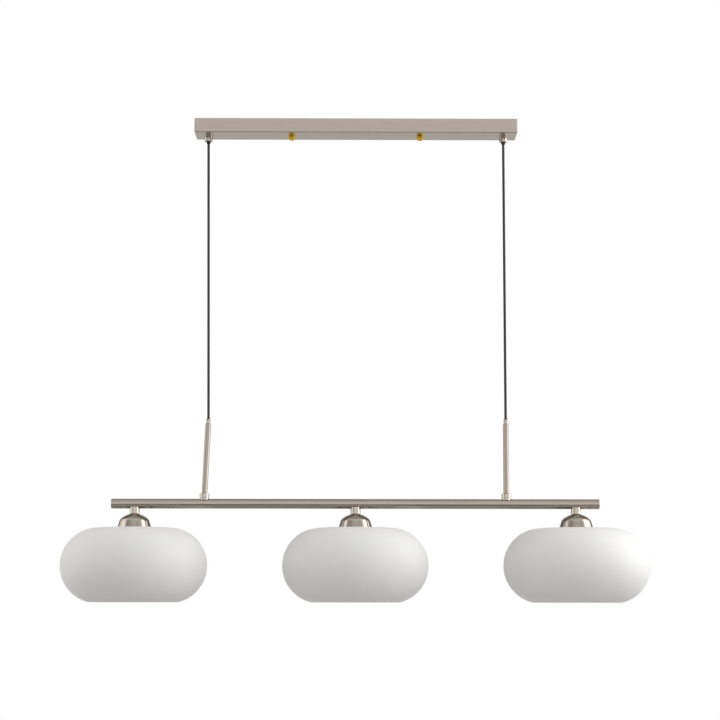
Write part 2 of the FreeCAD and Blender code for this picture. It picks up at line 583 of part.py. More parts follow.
def make_cord_tails():
    """The cords inside the canopy: the left one goes to the terminal block, and the right one,
    which only carries, ends in a crimped stop."""
    radius = number("cord_radius")
    side = number("cord_spacing / 2")
    start = number(f"{SWING_AXIS} + bush_pocket")
    floor = number("-canopy_height + canopy_sheet + cord_radius + cord_gap")
    back, front = number("bracket_width / 2"), number("-bracket_width / 2")
    block = number("block_length / 2")
    wires = number("-bracket_sheet - block_height / 2")
    bend = floor + 16.5
    left = [Vector(-side, 0, start), Vector(-side, 0, bend), Vector(-side + 34, 3, bend - 4),
            Vector(-side + 74, 11, floor + 1), Vector(-side + 128, back + 3, floor),
            Vector(-side + 182, back + 2, floor), Vector(-side + 214, back - 4, floor + 3),
            Vector(-block - 18, 3, wires)]
    keep(route_tube("cord_tail_left", left, radius), "cord_tail_left")
    stop_height = number("-canopy_height + canopy_sheet + cord_gap + cord_radius + stop_wall")
    right = [Vector(side, 0, start), Vector(side, 0, bend), Vector(side - 32, -2, bend - 4),
             Vector(side - 62, front + 4, stop_height), Vector(side - 92, front + 3, stop_height)]
    keep(route_tube("cord_tail_right", right, radius), "cord_tail_right")
    crimp, bevel = "(cord_radius + stop_wall)", 0.6
    stop = turned("cord_stop", [
        (0, 0), (f"{crimp} - {bevel}", 0), (crimp, bevel), (crimp, f"stop_length - {bevel}"),
        (f"{crimp} - {bevel}", "stop_length"), (0, "stop_length")])
    stop.Placement.Rotation = Rotation(Vector(0, 0, 1), right[-1] - right[-2])
    stop.Placement.Base = right[-1]
    keep(stop, "cord_stop")
    cores = []
    core = number("wire_radius")
    ahead = (left[-1] - left[-2]).normalize() * 0.9
    for pole, turn in ((-1, 210), (0, 90), (1, 330)):
        around = Rotation(Vector(1, 0, 0), turn) * Vector(0, 1.2 * core, 0)
        entry = Vector(-block + 6, number(f"{pole} * block_pitch"), wires)
        mouth = Vector(-block - 3, entry.y, wires)
        start = left[-1] + ahead + around
        cores.append(route_tube(f"core_{pole + 2}", [start, mouth, entry], core))
    group("core_wires", cores)
    pole, post = number("block_pitch"), number("slot_spacing")
    beside = number("bracket_width / 4 + stud_head_radius + wire_radius") + 0.2
    earth = [Vector(block - 6, pole, wires), Vector(block + 10, pole, wires),
             Vector(block + 28, back + 2, wires + 1), Vector(post - 10, back + 2, wires + 3),
             Vector(post, beside, wires + 4.6)]
    keep(route_tube("earth_wire", earth, core), "earth_wire")


# The two hanging cords and their rubber bushes


def bush_outline(radius, back, front_radius, front):
    """A ball-backed bush round the cord: its ball faces up and its taper points down."""
    bore = "(cord_radius + cord_gap / 2)"
    return [(bore, back), (f"sqrt({radius}^2 - ({back})^2)", back),
            (radius, 0, radius, "right"), (front_radius, f"-({front})"), (bore, f"-({front})")]


def make_cords():
    """The free cords, drawn tight by the lamp's weight, and the bush at each of their ends."""
    bushes = []
    for side, sign in SIDES.items():
        bush = turned(f"grip_bush_{side}", bush_outline(
            BUSH, f"bush_cut * {BUSH}", "cord_radius + bush_wall / 3", "bush_drop"))
        bushes.append(place(bush, x=f"{sign} * cord_spacing / 2", z=SWING_AXIS))
    group("grip_bushes", bushes)

    above, below = "bush_pocket - 1", "stem_bush_pocket - 1"
    straight = turned("cord_right", rod_outline("cord_radius", f"-cord_length - ({below})", above))
    place(straight, x="cord_spacing / 2", z=SWING_AXIS)
    keep(straight, "cord_right")
    slant_length = f"(({SWING_AXIS} - {LEFT_TIP_Z}) / cos({CORD_TILT} * 1deg))"
    slant = turned("cord_left", rod_outline(
        "cord_radius", f"-{slant_length} - ({below})", above))
    place(slant, x="-cord_spacing / 2", z=SWING_AXIS, axis=Vector(0, 1, 0), angle=f"-{CORD_TILT}")
    keep(slant, "cord_left")

    tips = {"left": (LEFT_TIP_X, LEFT_TIP_Z, f"180 - {CORD_TILT}"),
            "right": ("cord_spacing / 2", STEM_TIP, "180")}
    for side, (x, z, tilt) in tips.items():
        bush = turned(f"stem_bush_{side}", bush_outline(
            STEM_BUSH, f"bush_cut * {STEM_BUSH}", "cord_radius + stem_bush_wall / 2",
            "stem_bush_rise"))
        place(bush, x=x, z=z, axis=Vector(0, 1, 0), angle=tilt)
        keep(bush, f"stem_bush_{side}")


# The stems, which stand on the bar


def make_stems():
    """Each stem with its ferrule, screw, threaded tube and the cord inside it, round its foot.

    The left stem leans a little inwards in its collar, with all that is fixed to it."""
    screws, nipples, cords, nuts = [], [], [], []
    bore = "(cord_radius + cord_gap)"
    stem_bore = "(stem_radius - stem_wall)"
    top = "(stem_length + ferrule_height)"
    spigot = f"({stem_bore} - 0.1)"
    pocket = f"({STEM_BUSH} + cord_gap)"
    below_bar_top = "(-collar_height - bar_wall - saddle_nut_height)"
    bevel, screw_proud, screw_socket = 0.4, 0.2, 0.5
    for side, sign in SIDES.items():
        angle = "stem_lean" if side == "left" else "0"
        where = {"x": f"{sign} * cord_spacing / 2", "z": STEM_FOOT,
                 "axis": Vector(0, 1, 0), "angle": angle}
        stem = turned(f"stem_{side}", [
            (stem_bore, "stem_seat"), (f"stem_radius - {bevel}", "stem_seat"),
            ("stem_radius", f"stem_seat + {bevel}"),
            ("stem_radius", f"stem_length - {bevel}"), (f"stem_radius - {bevel}", "stem_length"),
            (stem_bore, "stem_length")])
        keep(place(stem, **where), f"stem_{side}")
        ferrule = turned(f"ferrule_{side}", [
            (bore, "stem_length - ferrule_spigot"), (spigot, "stem_length - ferrule_spigot"),
            (spigot, "stem_length"), (FERRULE, "stem_length"),
            (FERRULE, f"{top} - {bevel}"), (f"{FERRULE} - {bevel}", top), (pocket, top),
            (pocket, f"{top} - stem_bush_pocket"), (bore, f"{top} - stem_bush_pocket")])
        hole = new_sketch(ferrule, "XZ_Plane")
        height = "(stem_length + ferrule_screw_height)"
        draw_circles(hole, [(0, height, "ferrule_screw_radius + thread_gap")])
        cut(ferrule, hole, f"{FERRULE} + 1", reverse=True)
        keep(place(ferrule, **where), f"ferrule_{side}")
        screw = turned(f"ferrule_screw_{side}", [
            (0, bore), ("ferrule_screw_radius", bore),
            ("ferrule_screw_radius", f"{FERRULE} + {screw_proud}"),
            ("ferrule_screw_radius / 2", f"{FERRULE} + {screw_proud}"),
            ("ferrule_screw_radius / 2", f"{FERRULE} - {screw_socket}"),
            (0, f"{FERRULE} - {screw_socket}")])
        lean = number(angle)
        upright = Rotation(Vector(0, 1, 0), lean) * Rotation(Vector(1, 0, 0), 90)
        screw.Placement.Rotation = upright
        arm = f"{height} * sin({angle} * 1deg)"
        rise = f"{height} * cos({angle} * 1deg)"
        screw.setExpression("Placement.Base.x", formula(f"{where['x']} + {arm}"))
        screw.setExpression("Placement.Base.z", formula(f"{STEM_FOOT} + {rise}"))
        screws.append(screw)
        nipple = turned(f"stem_nipple_{side}", tube_outline(
            "cord_radius + stem_nipple_room", STEM_NIPPLE, below_bar_top, "stem_nipple_grip"))
        nipples.append(place(nipple, **where))
        cord = turned(f"stem_cord_{side}", rod_outline(
            "cord_radius", "-collar_height - bar_radius + bundle_radius + cord_gap",
            f"{top} - stem_bush_pocket"))
        cords.append(place(cord, **where))
        nuts.append(saddle_nut(f"stem_nut_{side}", f"{STEM_NIPPLE} + stem_nipple_gap", True,
                               where["x"]))
    group("ferrule_screws", screws)
    group("stem_nipples", nipples)
    group("stem_cords", cords)
    group("stem_saddle_nuts", nuts)


def make_collars():
    """Polished collars, shaped below to sit astride the bar."""
    hole = f"({STEM_NIPPLE} + stem_nipple_gap)"
    low = "(-collar_height - collar_hem)"
    foot, undercut = "(collar_radius - collar_foot_step)", 0.4
    for side, sign in SIDES.items():
        collar = turned(f"collar_{side}", [
            (hole, 0), ("collar_radius - collar_round", 0),
            ("collar_radius", "-collar_round", "collar_round", "right"),
            ("collar_radius", "-collar_height + collar_foot_height"),
            (foot, f"-collar_height + collar_foot_height - {undercut}"),
            (foot, low), (hole, low)])
        ride = new_sketch(collar, "YZ_Plane")
        draw_circles(ride, [(0, "-collar_height - bar_radius", "bar_radius + saddle_gap")])
        cut(collar, ride)
        keep(place(collar, x=f"{sign} * cord_spacing / 2", z=STEM_FOOT), f"collar_{side}")


# The bar


def saddle_nut(name, hole, at_top, x):
    """A nut whose outer face is rounded to the inside of the bar, with a flat inner face."""
    inside = "(bar_radius - bar_wall - saddle_gap)"
    round_bar = doc.addObject("Part::Cylinder", name + "_round")
    round_bar.setExpression("Radius", formula(inside))
    round_bar.setExpression("Height", formula("2 * saddle_nut_radius"))
    place(round_bar, x="-saddle_nut_radius", axis=Vector(0, 1, 0), angle=90)
    plug = doc.addObject("Part::Cylinder", name + "_plug")
    plug.setExpression("Radius", formula("saddle_nut_radius"))
    plug.setExpression("Height", formula("saddle_nut_height"))
    place(plug, z=f"{inside} - saddle_nut_height" if at_top else f"-{inside}")
    blank = doc.addObject("Part::Common", name + "_blank")
    blank.Base = round_bar
    blank.Tool = plug
    drill = doc.addObject("Part::Cylinder", name + "_drill")
    drill.setExpression("Radius", formula(hole))
    drill.setExpression("Height", formula(f"2 * {inside}"))
    place(drill, z=f"-{inside}")
    nut = doc.addObject("Part::Cut", name)
    nut.Base = blank
    nut.Tool = drill
    return place(nut, x=x, z=BAR_AXIS)


def make_bar():
    """The round bar tube, with holes above for the stems and below for the lampholders."""
    tube_length = "(bar_length - 2 * end_cap_sheet)"
    body = new_body("bar_tube")
    ring = new_sketch(body, "YZ_Plane")
    draw_circles(ring, [(0, 0, "bar_radius"), (0, 0, "bar_radius - bar_wall")])
    pad(body, ring, tube_length, midplane=True)
    above = new_sketch(body, "XY_Plane")
    draw_circles(above, [(f"{s} * cord_spacing / 2", 0, f"{STEM_NIPPLE} + stem_nipple_gap")
                         for s in (-1, 1)])
    cut(body, above, "bar_radius + 1", reverse=True)
    below = new_sketch(body, "XY_Plane")
    draw_circles(below, [(f"{s} * head_spacing", 0, NIPPLE_HOLE) for s in HEADS.values()])
    cut(body, below, "bar_radius + 1")
    keep(place(body, z=BAR_AXIS), "bar_tube")
    spigot = "(bar_radius - bar_wall - end_cap_gap)"
    hollow = f"({spigot} - end_cap_wall)"
    bevel = 0.4
    for side, sign in SIDES.items():
        cap = turned(f"end_cap_{side}", [
            (0, "end_cap_sheet"), (f"bar_radius - {bevel}", "end_cap_sheet"),
            ("bar_radius", f"end_cap_sheet - {bevel}"), ("bar_radius", 0), (spigot, 0),
            (spigot, "-end_cap_spigot"), (hollow, "-end_cap_spigot"), (hollow, 0), (0, 0)])
        place(cap, x=f"{sign} * {tube_length} / 2", z=BAR_AXIS,
              axis=Vector(0, 1, 0), angle=90 * sign)
        keep(cap, f"end_cap_{side}")


def make_bar_wiring():
    """Wires along the bar, with a pair down into each lampholder."""
    run = doc.addObject("Part::Cylinder", "wire_run")
    run.setExpression("Radius", formula("bundle_radius"))
    run.setExpression("Height", formula("2 * head_spacing + 2 * drop_radius"))
    place(run, x="-head_spacing - drop_radius", z=BAR_AXIS, axis=Vector(0, 1, 0), angle=90)
    drops = []
    for side, sign in HEADS.items():
        drop = doc.addObject("Part::Cylinder", f"wire_drop_{side}")
        drop.setExpression("Radius", formula("drop_radius"))
        drop.setExpression("Height", formula(f"{BAR_OVER_SEAT} - holder_floor - 1"))
        drops.append(place(drop, x=f"{sign} * head_spacing", z=f"{SEAT} + holder_floor + 1"))
    wiring = doc.addObject("Part::MultiFuse", "bar_wiring")
    wiring.Shapes = [run] + drops
    keep(wiring, "bar_wiring")


# The three heads. Each is drawn round the middle of the seat where its dome meets the glass.


def dome_outline():
    """A wide arc over the crown, a tighter bend and a straight skirt that leans inwards."""
    level, lean = "(dome_height - dome_crown_radius)", "(dome_lean * 1deg)"
    across = f"(dome_radius * cos{lean} - dome_bend_radius - {level} * sin{lean})"
    along = f"sqrt((dome_crown_radius - dome_bend_radius)^2 - {across}^2)"
    bend_x = f"({across} * cos{lean} - {along} * sin{lean})"
    bend_z = f"({level} + {across} * sin{lean} + {along} * cos{lean})"

    def surface(crown, bend, rim):
        over = f"({crown}) / (dome_crown_radius - dome_bend_radius)"
        return {"hole": (NIPPLE_HOLE, f"{level} + sqrt(({crown})^2 - {NIPPLE_HOLE}^2)"),
                "shoulder": (f"{bend_x} * {over}", f"{level} + ({bend_z} - {level}) * {over}"),
                "skirt": (f"{bend_x} + ({bend}) * cos{lean}", f"{bend_z} + ({bend}) * sin{lean}"),
                "rim": (rim, 0)}

    outer = surface("dome_crown_radius", "dome_bend_radius", "dome_radius")
    inner = surface("dome_crown_radius - dome_sheet", "dome_bend_radius - dome_sheet",
                    f"dome_radius - dome_sheet / cos{lean}")
    return [outer["hole"], (*outer["shoulder"], "dome_crown_radius", "right"),
            (*outer["skirt"], "dome_bend_radius", "right"), outer["rim"], inner["rim"],
            inner["skirt"], (*inner["shoulder"], "dome_bend_radius - dome_sheet", "left"),
            (*inner["hole"], "dome_crown_radius - dome_sheet", "left")]


def shade_outline():
    """A flattened pebble: a dipped seat, a long low crown, a round side and a polished rim."""
    glass, side, crown, just_over = "shade_glass", "shade_side_radius", "shade_dip", 0.01
    middle = f"(shade_diameter / 2 - {side})"
    hole = "(holder_radius + shade_hole_gap)"
    rise = f"({middle} - {SHADE_SEAT})"
    sweep = f"(({rise}^2 + {crown}^2) / 2 / {crown})"
    rim_drop = f"(shade_height - {side})"
    rim_out = f"sqrt({side}^2 - {rim_drop}^2)"
    inner = f"(({side} - {glass}) / {side})"
    equator = f"({crown} - {side})"
    return [(hole, 0), (SHADE_SEAT, 0),
            (middle, crown, sweep, "right"),
            ("shade_diameter / 2", equator, side, "right"),
            (f"{middle} + {rim_out}", f"{equator} - {rim_drop}", side, "right"),
            (f"{middle} + {rim_out} * {inner}", f"{equator} - {rim_drop} * {inner}",
             f"{glass} / 2 + {just_over}", "right"),
            (f"shade_diameter / 2 - {glass}", equator, f"{side} - {glass}", "left"),
            (middle, f"{crown} - {glass}", f"{side} - {glass}", "left"),
            (SHADE_SEAT, f"-{glass}", sweep, "left"), (hole, f"-{glass}")]


def holder_outline():
    """An E27 lampholder: a boss for the threaded tube, a threaded skirt and a deep socket."""
    boss_top = ("(dome_height - dome_crown_radius - dome_gap"
                " + sqrt((dome_crown_radius - dome_sheet)^2 - holder_boss^2))")
    socket = "(socket_radius + socket_sheet + shell_gap)"
    bevel, mouth_bevel = 3, 1
    wires, ledge = "holder_wire_radius", "(holder_shoulder - holder_ledge)"
    return [("nipple_radius + thread_gap", boss_top), ("holder_boss", boss_top),
            ("holder_boss", f"holder_shoulder + {bevel / 2}"),
            (f"holder_radius - {bevel}", "holder_shoulder"),
            ("holder_radius", f"holder_shoulder - {bevel}"), ("holder_radius", "-holder_drop"),
            (f"{socket} + {mouth_bevel}", "-holder_drop"),
            (socket, f"-holder_drop + {mouth_bevel}"),
            (socket, "holder_floor"), (wires, "holder_floor"), (wires, ledge),
            ("nipple_radius + thread_gap", ledge)]


def globe_outline():
    """An opal lamp: a round globe, and a throat that narrows in a smooth hollow to the cap."""
    turn = "(globe_shoulder * 1deg)"
    neck = "(socket_radius - globe_throat_gap)"
    end = f"({LAMP_TIP} - globe_length)"
    centre = f"({end} + globe_radius)"
    hollow = f"((globe_radius * cos{turn} - {neck}) / (1 - cos{turn}))"
    inner_hollow = f"({hollow} + globe_glass)"
    inner_globe = "(globe_radius - globe_glass)"
    start = f"({centre} + (globe_radius + {hollow}) * sin{turn})"
    top = f"({CAP_FOOT} + globe_throat_seat)"
    return [(neck, top), (f"{neck} - globe_glass", top), (f"{neck} - globe_glass", start),
            (f"{inner_globe} * cos{turn}", f"{centre} + {inner_globe} * sin{turn}",
             inner_hollow, "left"),
            (inner_globe, centre, inner_globe, "right"),
            (0, f"{centre} - {inner_globe}", inner_globe, "right"),
            (0, end),
            ("globe_radius", centre, "globe_radius", "left"),
            (f"globe_radius * cos{turn}", f"{centre} + globe_radius * sin{turn}",
             "globe_radius", "left"),
            (neck, start, hollow, "right")]


def cap_outline():
    """The lamp's screw cap, a thin cup with the contact button on top."""
    outer = "(socket_radius - lamp_gap)"
    inner = f"({outer} - lamp_cap_sheet)"
    button = "lamp_tip_radius"
    button_foot = f"({LAMP_TIP} - lamp_tip_height)"
    shoulder = f"({button_foot} - lamp_seal_height)"
    side = f"({shoulder} - lamp_shoulder_height)"
    slope = "lamp_shoulder_width"
    return [(0, LAMP_TIP), (button, LAMP_TIP), (f"{button} + lamp_tip_flare", button_foot),
            (f"{outer} - {slope}", shoulder), (outer, side), (outer, CAP_FOOT),
            (inner, CAP_FOOT), (inner, f"{side} - lamp_cap_sheet / 2"),
            (f"{inner} - {slope}", f"{shoulder} - lamp_cap_sheet"),
            (button, f"{button_foot} - lamp_cap_sheet"), (0, f"{button_foot} - lamp_cap_sheet")]


def make_heads():
    """Neck, dome, lampholder, shade, ring and lamp, three times along the bar."""
    nipples, nuts, sockets = [], [], []
    ring_bore = "(holder_radius + ring_thread_gap)"
    ring_top = "(-shade_glass - ring_gap)"
    for side, sign in HEADS.items():
        where = {"x": f"{sign} * head_spacing", "z": SEAT}
        neck = turned(f"neck_{side}", tube_outline(
            NIPPLE_HOLE, "neck_radius", NECK_FOOT, f"{NECK_FOOT} + neck_height + neck_hem"))
        ride = new_sketch(neck, "YZ_Plane")
        draw_circles(ride, [(0, BAR_OVER_SEAT, "bar_radius + saddle_gap")])
        cut(neck, ride)
        keep(place(neck, **where), f"neck_{side}")
        keep(place(turned(f"dome_{side}", dome_outline()), **where), f"dome_{side}")
        keep(place(turned(f"lampholder_{side}", holder_outline()), **where),
             f"lampholder_{side}")
        keep(place(turned(f"shade_{side}", shade_outline()), **where), f"shade_{side}")
        ring = turned(f"shade_ring_{side}", [
            (ring_bore, ring_top), (f"{RING_HUB} + ring_lip", ring_top),
            (f"{RING_HUB} + ring_lip", f"{ring_top} - ring_flange"),
            (RING_HUB, f"{ring_top} - ring_flange"), (RING_HUB, f"{ring_top} - ring_height"),
            (ring_bore, f"{ring_top} - ring_height")])
        keep(place(ring, **where), f"shade_ring_{side}")
        keep(place(turned(f"lamp_cap_{side}", cap_outline()), **where), f"lamp_cap_{side}")
        keep(place(turned(f"lamp_globe_{side}", globe_outline()), **where),
             f"lamp_globe_{side}")
        nipple = turned(f"nipple_{side}", tube_outline(
            "nipple_bore", "nipple_radius", "holder_shoulder - holder_ledge / 2",
            f"{BAR_OVER_SEAT} - bar_radius + bar_wall + saddle_nut_height"))
        nipples.append(place(nipple, **where))
        nuts.append(saddle_nut(f"neck_nut_{side}", "nipple_radius + thread_gap", False,
                               where["x"]))
        shell_top = "(holder_floor - shell_drop)"
        shell = turned(f"socket_shell_{side}", tube_outline(
            "socket_radius", "socket_radius + socket_sheet", f"{shell_top} - socket_length",
            shell_top))
        spring = "(holder_floor - lamp_tip_gap + contact_gap)"
        back = f"{spring} + contact_sheet"
        contact = turned(f"socket_contact_{side}", [
            (0, spring), ("lamp_tip_radius", spring), ("lamp_tip_radius", back),
            ("lamp_tip_radius / 2", back),
            ("lamp_tip_radius / 2", "holder_floor"), (0, "holder_floor")])
        sockets += [place(shell, **where), place(contact, **where)]
    group("neck_nipples", nipples)
    group("neck_saddle_nuts", nuts)
    group("socket_contacts", sockets)


def check_and_export():
    """Recompute, test every object and every sub-part, and write one file for each sub-part."""
    doc.recompute()
    faults = [o.Name for o in doc.Objects if "Invalid" in o.State or "Error" in o.State]
    if faults:
        raise RuntimeError(f"not built: {faults}")
    for node in nodes:
        if node.Shape.isNull() or not node.Shape.isValid() or not node.Shape.Solids:
            raise RuntimeError(f"{node.Label} has no sound solid")
    os.makedirs("parts", exist_ok=True)
    for node in nodes:
        node.Shape.exportStep(f"parts/{node.Label}.step")
        box = node.Shape.BoundBox
        print(f"{node.Label}: {len(node.Shape.Solids)} solids, {node.Shape.Volume / 1000:.2f} cm3,"
              f" x {box.XMin:.1f} to {box.XMax:.1f}, z {box.ZMin:.1f} to {box.ZMax:.1f}")
    print(f"{len(nodes)} sub-parts")


fill_sheet()
make_bracket()
make_studs()
make_canopy()
make_cap_nuts()
make_grips()
make_terminal_block()
make_cord_tails()
make_cords()
make_stems()
make_collars()
make_bar()
make_bar_wiring()
make_heads()
check_and_export()
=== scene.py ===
# %% [markdown]
# # A linear island pendant in satin nickel and opal glass
#
# A long ceiling canopy carries two black cords, two slim stems, a round bar and three wide glass
# shades. The metal frame comes ready from CAD, so this notebook is about what CAD can't give:
# cords that are one smooth line, brushed and polished metal, matt opal glass, and the light of a
# photo studio.
#
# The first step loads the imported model. Everything is in metres, X runs along the bar, -Y looks
# at the viewer and Z is up. The origin is on the ceiling, so the whole lamp hangs below zero.

# %% Load the frame
import math

import bmesh
import bpy
from mathutils import Matrix, Vector


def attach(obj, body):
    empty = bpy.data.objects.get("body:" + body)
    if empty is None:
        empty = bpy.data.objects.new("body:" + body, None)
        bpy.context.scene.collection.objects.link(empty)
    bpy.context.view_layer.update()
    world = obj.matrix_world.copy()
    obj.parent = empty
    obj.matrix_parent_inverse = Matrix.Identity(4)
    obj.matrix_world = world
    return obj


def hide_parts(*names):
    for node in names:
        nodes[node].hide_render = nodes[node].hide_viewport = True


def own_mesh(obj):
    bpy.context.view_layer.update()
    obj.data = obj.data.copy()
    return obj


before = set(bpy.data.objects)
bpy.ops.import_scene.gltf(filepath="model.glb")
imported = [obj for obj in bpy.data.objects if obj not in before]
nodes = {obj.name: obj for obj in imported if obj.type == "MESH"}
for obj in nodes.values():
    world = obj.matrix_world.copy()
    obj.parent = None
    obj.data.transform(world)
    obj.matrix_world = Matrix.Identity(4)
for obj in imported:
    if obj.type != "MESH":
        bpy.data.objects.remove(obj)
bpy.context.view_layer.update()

# %% [markdown]

# %% [markdown]
# ## The camera
#
# The lamp was photographed with a long lens from three and a half metres away, a little below the
# shades and tilted up. We could guess such a camera by eye, but the canopy, the bar and the two
# cords give enough straight lines to work out its place, so the numbers below come from a fit.
# The image is 720 pixels wide, and the fit's focal length of 1893.5 pixels becomes millimetres
# on Blender's 36 mm sensor. The view transform is Standard, which shows each colour as written.

# %% Place the camera
IMAGE_SIZE = 720
FOCAL_PIXELS = 1893.5
CAMERA_PLACE = Vector((-0.0154, -3.4603, -0.8964))
PITCH, YAW, ROLL = math.radians(7.372), math.radians(0.387), math.radians(0.060)

camera = bpy.data.objects.new("camera", bpy.data.cameras.new("camera"))
bpy.context.scene.collection.objects.link(camera)
camera.data.sensor_width = 36
camera.data.lens = FOCAL_PIXELS * camera.data.sensor_width / IMAGE_SIZE
turn = (Matrix.Rotation(-YAW, 4, "Z") @ Matrix.Rotation(math.radians(90) + PITCH, 4, "X")
        @ Matrix.Rotation(ROLL, 4, "Z"))
camera.matrix_world = Matrix.Translation(CAMERA_PLACE) @ turn
bpy.context.scene.camera = camera
bpy.context.scene.view_settings.view_transform = "Standard"


def pixel(place):
    """Where a point of the lamp lands in the picture, in pixels from its top left corner."""
    seen = camera.matrix_world.inverted() @ Vector(place)
    middle = IMAGE_SIZE / 2
    return (round(middle + FOCAL_PIXELS * seen.x / -seen.z, 1),
            round(middle - FOCAL_PIXELS * seen.y / -seen.z, 1))


BAR_AXIS, BAR_END = -0.7135, 0.445
print("lens", round(camera.data.lens, 2), "mm, bar from", pixel((-BAR_END, 0, BAR_AXIS)), "to",
      pixel((BAR_END, 0, BAR_AXIS)))

# %% [markdown]
# ## Two small helpers
#
# Blender's shaders work in linear light, while colours are written down as sRGB hex values, so
# one function translates. Another adds a node with its settings and its links in one line, which
# keeps each material short enough to read.

# %% Colours and nodes


def linear(code):
    """Turn an sRGB colour such as #A8A097 into the linear values that shaders take."""
    parts = [int(code[i:i + 2], 16) / 255 for i in (1, 3, 5)]
    return [p / 12.92 if p <= 0.04045 else ((p + 0.055) / 1.055) ** 2.4 for p in parts] + [1.0]


def set_stops(ramp, stops):
    """Give a colour ramp its stops, each a place from 0 to 1 and a colour or a grey value."""
    elements = ramp.color_ramp.elements
    while len(elements) < len(stops):
        elements.new(0.5)
    for element, (place, value) in zip(elements, stops):
        element.position = place
        element.color = linear(value) if isinstance(value, str) else [value] * 3 + [1.0]


def add(owner, kind, inputs=None, into=None, stops=None, **settings):
    """Add a node to a material or world. An input takes a value or another node's output.

    The new node's first output can go into a socket that is already there."""
    node = owner.node_tree.nodes.new("ShaderNode" + kind)
    for name, value in settings.items():
        setattr(node, name, value)
    for name, value in (inputs or {}).items():
        if isinstance(value, bpy.types.NodeSocket):
            owner.node_tree.links.new(value, node.inputs[name])
        else:
            node.inputs[name].default_value = value
    if stops:
        set_stops(node, stops)
    if into:
        owner.node_tree.links.new(node.outputs[0], into)
    return node


# %% [markdown]
# ## The studio
#
# Metal has hardly a colour of its own: it shows the room around it. So the photograph tells what
# the room was like. Each dome has a white band on its right and a cream one on its left, which
# are two soft boxes. Outside them is a thin dark outline, a dark part of the room further back.
# The bar shows the room's heights: dark low down, a plain light grey at eye level, a bright strip
# over it, and above that a grey that gets lighter again towards the ceiling.
#
# A ready-made studio picture could give such a room, but a few ramps over the direction of view
# do too, and nothing has to be loaded. The first ramp is the wall behind the camera, from the
# ground to the ceiling.

# %% Start the world with its front wall
world = bpy.data.worlds.new("studio")
bpy.context.scene.world = world
world.use_nodes = True
world.node_tree.nodes.clear()
direction = add(world, "SeparateXYZ", {"Vector": add(world, "TexCoord").outputs["Generated"]})


def heights(*stops):
    """Ramp stops for directions so many degrees above the horizon."""
    return [((math.sin(math.radians(degrees)) + 1) / 2, value) for degrees, value in stops]


height = add(world, "MapRange", {"Value": direction.outputs["Z"], "From Min": -1.0})
front = add(world, "ValToRGB", {"Fac": height.outputs["Result"]}, stops=heights(
    (-90, "#A3A2A1"), (-50, "#A3A2A1"), (-42, "#5E5D5D"), (-17, "#5E5D5D"), (-10, "#E8E7E6"),
    (6, "#E6E5E3"), (10, "#CDCBCA"), (15, "#CDCBCA"), (18, 1.2), (26, 1.2), (30, "#AEADAC"),
    (42, "#D5D4D3"), (62, "#DEDDDB"), (80, "#B6B5B3")))
print("the front wall has", len(front.color_ramp.elements), "stops")

# %% [markdown]
# Grey screens stand all round the lamp. The darkest, 120 to 150 degrees from the camera on both
# sides, draw the thin dark outlines of the domes. The wall behind the lamp is a plain grey.

# %% Put up the screens and the back wall


def sides(*stops):
    """Ramp stops for directions so many degrees to the right of the camera."""
    return [((degrees + 180) / 360, value) for degrees, value in stops]


toward_camera = add(world, "Math", {0: direction.outputs["Y"], 1: -1.0}, operation="MULTIPLY")
around = add(world, "Math", {0: direction.outputs["X"], 1: toward_camera.outputs[0]},
             operation="ARCTAN2")
bearing = add(world, "MapRange", {"Value": around.outputs[0], "From Min": -math.pi,
                                  "From Max": math.pi})
screens = add(world, "ValToRGB", {"Fac": bearing.outputs["Result"]}, stops=sides(
    (-165, 1.0), (-150, 0.3), (-120, 0.3), (-112, 0.8), (-66, 0.8), (-58, 0.6), (-40, 0.6),
    (-20, 0.9), (8, 1.0), (24, 0.9), (38, 0.9), (50, 1.0), (110, 1.0), (120, 0.3), (150, 0.3),
    (165, 1.0)))
backward = add(world, "MapRange", {"Value": direction.outputs["Y"], "From Min": -0.15,
                                   "From Max": 0.35}, interpolation_type="SMOOTHSTEP")
behind = add(world, "ValToRGB", {"Fac": height.outputs["Result"]}, stops=heights(
    (-30, "#B5B3B0"), (5, "#B5B3B0"), (45, "#A09E9B"), (80, "#A09E9B")))
# A Mix node has a pair of sockets for each kind of value, and 6 and 7 are its two colours
wall = add(world, "Mix", {0: backward.outputs["Result"], 6: front.outputs["Color"],
                          7: behind.outputs["Color"]}, data_type="RGBA")
# The dark screens stand clear of the floor and don't reach the ceiling
screened = add(world, "ValToRGB", {"Fac": height.outputs["Result"]}, stops=heights(
    (-8, 0.0), (3, 1.0), (46, 1.0), (64, 0.0)))
room = add(world, "Mix", {0: screened.outputs["Color"], 6: wall.outputs[2],
                          7: screens.outputs["Color"]}, data_type="RGBA", blend_type="MULTIPLY")
print("the screens have", len(screens.color_ramp.elements), "stops")

# %% [markdown]
# The camera sees none of this room: the world shows it pure white, as the background of the
# photograph is, and so it does through glass.
#
# A metal's colour is measured against white too. Under a grey room it would come out too dark,
# so mirrored rays see the room 1.62 times as bright as it is.

# %% Choose what each kind of ray sees
MIRRORED_GAIN = 1.62
ray = add(world, "LightPath")
white_to = add(world, "Math", {0: ray.outputs["Is Camera Ray"],
                               1: ray.outputs["Is Transmission Ray"]}, operation="MAXIMUM")
shown = add(world, "Mix", {0: white_to.outputs[0], 6: room.outputs[2], 7: (1, 1, 1, 1)},
            data_type="RGBA")
mirrored = add(world, "Math", {0: ray.outputs["Is Glossy Ray"], 1: MIRRORED_GAIN - 1, 2: 1.0},
               operation="MULTIPLY_ADD")
background = add(world, "Background", {"Color": shown.outputs[2],
                                       "Strength": mirrored.outputs[0]})
add(world, "OutputWorld", {"Surface": background.outputs["Background"]})
print("the world has", len(world.node_tree.nodes), "nodes")

